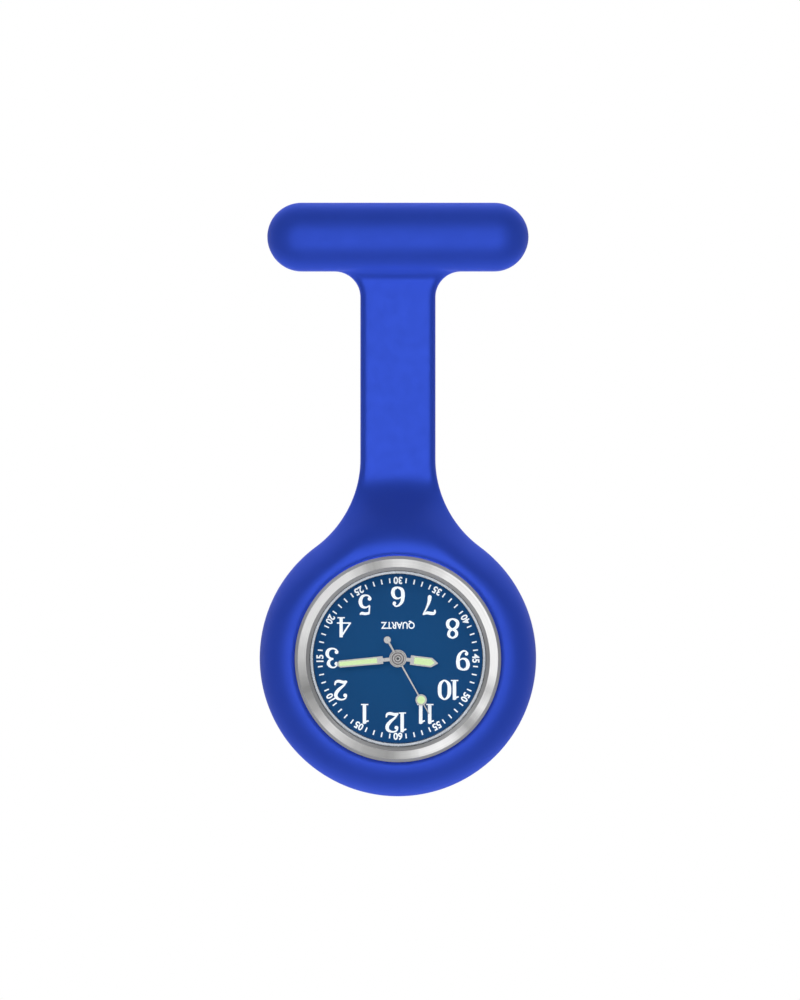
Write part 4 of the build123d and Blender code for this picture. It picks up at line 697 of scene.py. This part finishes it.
def hour_figures():
    """The hour numbers, all upright when twelve is at the top."""
    patches = []
    for hour, (x, y) in HOUR_PLACES.items():
        step = HOUR_STEP if hour != "11" else ELEVEN_STEP
        for i, digit in enumerate(hour):
            place = x + step * (i - (len(hour) - 1) / 2)
            patches += turned_about(FIGURES[digit](), 0, place, y)
    return patches


def minute_ticks():
    """The short lines of the minutes that have no number."""
    tick = box_patch(-MINUTE_TICK_HALF_WIDTH, MINUTE_TICK[0], MINUTE_TICK_HALF_WIDTH, MINUTE_TICK[1])
    patches = []
    for minute in range(60):
        if minute % 5:
            patches += turned_about(tick, -math.radians(6 * minute))
    return patches


def as_flat_mesh(patches):
    """One flat sheet that covers every patch once, however they overlap."""
    corners, faces = [], []
    for patch in patches:
        faces.append(list(range(len(corners), len(corners) + len(patch))))
        corners += [Vector(p) for p in patch]
    points, _, triangles, _, _, source = delaunay_2d_cdt(corners, [], faces, 0, 1e-5)
    return [tuple(p) for p in points], [t for t, s in zip(triangles, source) if s]


def typed(word, height, bold):
    """The triangles of a word set in plain letters, with its middle at nothing."""
    text = bpy.data.curves.new(word, "FONT")
    text.body, text.size, text.align_x, text.offset = word, height / CAPITAL_SHARE, "CENTER", bold
    text.resolution_u = 4
    holder = bpy.data.objects.new(word, text)
    bpy.context.scene.collection.objects.link(holder)
    bpy.context.view_layer.update()
    mesh = bpy.data.meshes.new_from_object(holder.evaluated_get(bpy.context.evaluated_depsgraph_get()))
    points = np.array([v.co[:2] for v in mesh.vertices])
    faces = [tuple(p.vertices) for p in mesh.polygons]
    bpy.data.objects.remove(holder)
    points -= (points.max(0) + points.min(0)) / 2
    return points, faces


def dial_printing(finish):
    """Everything printed on the dial, as one thin layer of ink."""
    points, faces = as_flat_mesh(hour_figures() + minute_ticks())
    points = np.array(points)
    sheets = [(points, faces)]
    for minute in range(5, 65, 5):
        face, triangles = typed(f"{minute:02d}", MINUTE_FIGURE_HEIGHT, MINUTE_FIGURE_BOLD)
        face = face * (MINUTE_FIGURE_WIDTH, 1)
        turn = -math.radians(6 * minute)
        if 20 <= minute <= 40:  # turned half round, to read upright in the lower part of the dial
            face = -face
        c, s = math.cos(turn), math.sin(turn)
        sheets.append(((face + (0, MINUTE_FIGURE_RADIUS)) @ np.array([(c, s), (-s, c)]), triangles))
    word, triangles = typed("QUARTZ", WORD_HEIGHT, WORD_BOLD)
    word = word * (WORD_WIDTH / np.ptp(word[:, 0]), 1) + (0, WORD_PLACE)
    sheets.append((word, triangles))
    corners, faces = [], []
    for flat, triangles in sheets:
        # The watch hangs with twelve at the bottom, so the dial is turned half round.
        base = len(corners)
        corners += [(-x * MM, -(FACE_HEIGHT + INK_THICKNESS) * MM, (WATCH_Z - y) * MM) for x, y in flat]
        faces += [tuple(base + k for k in t) for t in triangles]
    ink = new_piece("dial_printing", corners, faces, finish)
    ink.data.update()
    if sum(p.normal.y * p.area for p in ink.data.polygons) > 0:
        ink.data.flip_normals()
    thick = ink.modifiers.new("ink_thickness", "SOLIDIFY")
    thick.thickness, thick.offset = INK_THICKNESS * MM, -1
    return ink


def edge_ring(finish):
    """The bright ring round the edge of the dial, which reaches nearly up to the crystal."""
    turns, sides = 192, len(EDGE_RING)
    corners, faces = [], []
    for k in range(turns):
        turn = 2 * math.pi * k / turns
        corners += [(r * math.cos(turn) * MM, -(FACE_HEIGHT + h) * MM, (WATCH_Z + r * math.sin(turn)) * MM)
                    for r, h in EDGE_RING]
        here, on = k * sides, (k + 1) % turns * sides
        for a in range(sides):
            b = (a + 1) % sides
            faces.append([here + a, here + b, on + b, on + a])
    return new_piece("dial_edge_ring", corners, faces, finish)


# ---------------------------------------------------------------- putting it together

def applied(piece):
    """The piece with its modifiers worked into its mesh."""
    bpy.context.view_layer.update()
    mesh = bpy.data.meshes.new_from_object(piece.evaluated_get(bpy.context.evaluated_depsgraph_get()))
    piece.modifiers.clear()
    piece.data = mesh
    return piece


finishes = {
    "blue_silicone": silicone_finish(),
    "bezel": bezel_finish(),
    "crystal": glass_finish(),
    "dial": dial_finish(),
    "lume": lume_finish(),
    "ink": ink_finish(),
    "case": metal_finish("satin_case", srgb(190, 190, 188), 0.34),
    "caseback": turned_finish("turned_caseback", srgb(198, 198, 196), 0.28, 0, WATCH_Z, 0.3),
    "inner_ring": metal_finish("bright_inner_ring", srgb(200, 204, 210), 0.26, 0.15, 0.0006),
    "hands": hand_finish(),
    "pin": metal_finish("pin_steel", srgb(208, 208, 210), 0.2, 0.12, 0.001),
    "plate": metal_finish("rolled_plate", srgb(196, 196, 198), 0.3, 0.3, 0.003),
    "brass": metal_finish("catch_brass", srgb(214, 196, 140), 0.26, 0.2, 0.002),
    "wheel_brass": turned_finish("wheel_brass", srgb(212, 182, 108), 0.28, 0, WATCH_Z, 0.1),
    "wheel_steel": metal_finish("wheel_steel", srgb(188, 190, 194), 0.28),
    "white_plastic": moulded_finish("white_wheel_plastic", srgb(232, 230, 222), 0.45),
    "main_plate": metal_finish("stamped_plate", srgb(196, 190, 176), 0.38, 0.3, 0.004),
    "bridge": metal_finish("nickel_bridge", srgb(200, 200, 198), 0.34, 0.3, 0.003),
    "battery": turned_finish("battery_steel", srgb(206, 207, 208), 0.24, 4.0, WATCH_Z + 4.6, 0.16),
    "spring_steel": metal_finish("spring_steel", srgb(178, 178, 176), 0.3, 0.15, 0.002),
    "iron": metal_finish("soft_iron", srgb(158, 158, 156), 0.42, 0.2, 0.004),
    "copper": winding_finish(),
    "board": board_finish(),
    "chip": moulded_finish("black_chip", srgb(28, 28, 30), 0.4),
    "can": metal_finish("crystal_can", srgb(204, 204, 200), 0.24, 0.2, 0.002),
    "black_rubber": moulded_finish("black_rubber", srgb(26, 26, 27), 0.62),
    "white_rubber": moulded_finish("white_gasket", srgb(216, 216, 212), 0.5),
    "holder_plastic": moulded_finish("holder_plastic", srgb(226, 226, 220), 0.42),
}

BY_SLOT = {
    "silicone": "blue_silicone", "pin_steel": "pin", "catch_brass": "brass", "case_metal": "case",
    "bezel_steel": "bezel", "crystal_glass": "crystal", "gasket": "black_rubber",
    "gasket_white": "white_rubber", "ring_metal": "inner_ring", "dial_paint": "dial",
    "hand_metal": "hands", "lume": "lume",
    "wheel_brass": "wheel_brass", "wheel_steel": "wheel_steel", "wheel_plastic": "white_plastic",
    "plate_metal": "main_plate", "bridge_metal": "bridge", "battery_steel": "battery",
    "spring_steel": "spring_steel", "stator_iron": "iron", "copper": "copper", "board": "board",
    "chip": "chip", "can": "can", "holder_plastic": "holder_plastic",
}

for entry in frame["record"]["subparts"]:
    node = frame["nodes"][entry["node"]]
    node.data.materials.clear()
    node.data.materials.append(finishes[BY_SLOT[entry["material_slot"]]])
frame["nodes"]["caseback"].data.materials[0] = finishes["caseback"]
frame["nodes"]["brooch_plate"].data.materials[0] = finishes["plate"]

cover = silicone_cover(finishes["blue_silicone"])
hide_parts("cover_brooch_end", "cover_flex_web", "cover_watch_ring")
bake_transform(cover)

printing = applied(dial_printing(finishes["ink"]))
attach(printing, "watch_head")
edge = edge_ring(finishes["inner_ring"])
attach(edge, "watch_head")


# ---------------------------------------------------------------- floor, light and camera

# Everything below is in metres.
MIDDLE = (0, -0.005, -0.04)
FRONT = (0.0, -0.9, -0.05)
FLOOR_Z = -0.16
FLOOR_RADIUS = 0.4
CAMERA_DISTANCE = 0.7
CAMERA_AIM = (0.0003, -0.008, -0.03777)
VIEW_HEIGHT = 0.14286
SENSOR_HEIGHT = 24
ROOM_TURNS_LIGHT = (-0.45, 0.35)
ROOM_LIGHT = (0.08, 0.75)
RIM_OUT = 0.6
RIM_BEHIND = 0.24
RIM_SIZE = 0.35


def floor():
    """A round pale floor below the watch, for its shadow."""
    rings, spokes = 12, 64
    corners, faces = [(0, 0, FLOOR_Z)], []
    for i in range(rings):
        for k in range(spokes):
            turn = 2 * math.pi * k / spokes
            reach = FLOOR_RADIUS * (i + 1) / rings
            corners.append((reach * math.cos(turn), reach * math.sin(turn), FLOOR_Z))
    for k in range(spokes):
        faces.append((0, 1 + k, 1 + (k + 1) % spokes))
    for i in range(rings - 1):
        for k in range(spokes):
            a, b = 1 + i * spokes + k, 1 + i * spokes + (k + 1) % spokes
            faces.append((a, a + spokes, b + spokes, b))
    f = Finish("pale_floor", (0.86, 0.86, 0.86), Roughness=0.7)
    f.set("Roughness", 0.66 + 0.08 * f.grain(6))
    board = new_piece("floor", corners, faces, f.material)


def lamp(name, place, size, power, pieces=None, body=True, gloss=True, shadow=True):
    """A round soft lamp aimed at the middle of the object. It can light chosen pieces only, and leave
    out its glint, everything but its glint, or its shadow."""
    light = bpy.data.lights.new(name, "AREA")
    light.shape, light.size, light.energy = "DISK", size, power
    holder = bpy.data.objects.new(name, light)
    holder.location = place
    holder.rotation_euler = (Vector(MIDDLE) - Vector(place)).to_track_quat("-Z", "Y").to_euler()
    holder.visible_diffuse, holder.visible_glossy, holder.visible_transmission = body, gloss, False
    holder.visible_camera, light.use_shadow = False, shadow
    bpy.context.scene.collection.objects.link(holder)
    if pieces:
        lit = bpy.data.collections.new(name + "_pieces")
        for piece in pieces:
            lit.objects.link(piece)
        holder.light_linking.receiver_collection = lit


def surroundings():
    """A white room seen plainly, which lights the object mostly from its sides and from behind."""
    world = bpy.data.worlds.new("white_room")
    bpy.context.scene.world = world
    world.use_nodes = True
    nodes, links = world.node_tree.nodes, world.node_tree.links
    nodes.clear()
    out = nodes.new("ShaderNodeOutputWorld")
    plain, soft, both = nodes.new("ShaderNodeBackground"), nodes.new("ShaderNodeBackground"), nodes.new(
        "ShaderNodeMixShader")
    plain.inputs["Color"].default_value = (1, 1, 1, 1)
    seen = nodes.new("ShaderNodeLightPath")
    direction, apart = nodes.new("ShaderNodeTexCoord"), nodes.new("ShaderNodeSeparateXYZ")
    ramp = nodes.new("ShaderNodeMapRange")
    ramp.inputs["From Min"].default_value, ramp.inputs["From Max"].default_value = ROOM_TURNS_LIGHT
    ramp.inputs["To Min"].default_value, ramp.inputs["To Max"].default_value = ROOM_LIGHT
    links.new(direction.outputs["Generated"], apart.inputs[0])
    links.new(apart.outputs["Y"], ramp.inputs["Value"])
    links.new(ramp.outputs[0], soft.inputs["Strength"])
    links.new(seen.outputs["Is Camera Ray"], both.inputs[0])
    links.new(soft.outputs[0], both.inputs[1])
    links.new(plain.outputs[0], both.inputs[2])
    links.new(both.outputs[0], out.inputs["Surface"])


def camera():
    """Straight in front, far enough back that the watch shows almost without perspective."""
    seen = bpy.data.cameras.new("front")
    seen.sensor_fit, seen.sensor_height = "VERTICAL", SENSOR_HEIGHT
    seen.lens = SENSOR_HEIGHT * CAMERA_DISTANCE / VIEW_HEIGHT
    seen.clip_start, seen.clip_end = 0.01, 10
    holder = bpy.data.objects.new("front", seen)
    holder.location = (CAMERA_AIM[0], -CAMERA_DISTANCE + CAMERA_AIM[1], CAMERA_AIM[2])
    holder.rotation_euler = (math.pi / 2, 0, 0)
    bpy.context.scene.collection.objects.link(holder)
    bpy.context.scene.camera = holder


METALS = ("bezel", "dial_ring", "hour_hand", "minute_hand", "second_hand")
metals = [frame["nodes"][name] for name in METALS] + [edge]
others = [node for name, node in frame["nodes"].items() if not name.startswith("cover_")] + [printing, edge]

floor()
surroundings()
camera()
lamp("front_on_silicone", FRONT, 0.3, 2.7, [cover], gloss=False)
lamp("sheen_on_silicone", (0, -0.45, -0.03), 0.25, 6.1, [cover], body=False)
lamp("front_on_watch", FRONT, 0.3, 4.7, others, gloss=False)
lamp("sheen_on_metal", (0, -0.8, -0.05), 0.6, 1.08, metals, body=False)
for name, across, up, power in (("left", -RIM_OUT, 0, 0.8), ("right", RIM_OUT, 0, 0.8),
                                ("above", 0, RIM_OUT, 3.3), ("below", 0, -RIM_OUT, 3.6)):
    lamp("rim_" + name, (across, RIM_BEHIND, MIDDLE[2] + up), RIM_SIZE, power, [cover], gloss=False,
         shadow=name != "below")
lamp("top_left", (-0.4, -0.62, 0.34), 0.4, 1.6, others)
lamp("top_right", (0.34, -0.62, 0.4), 0.35, 1.1, others)
bpy.context.scene.view_settings.view_transform = "Standard"
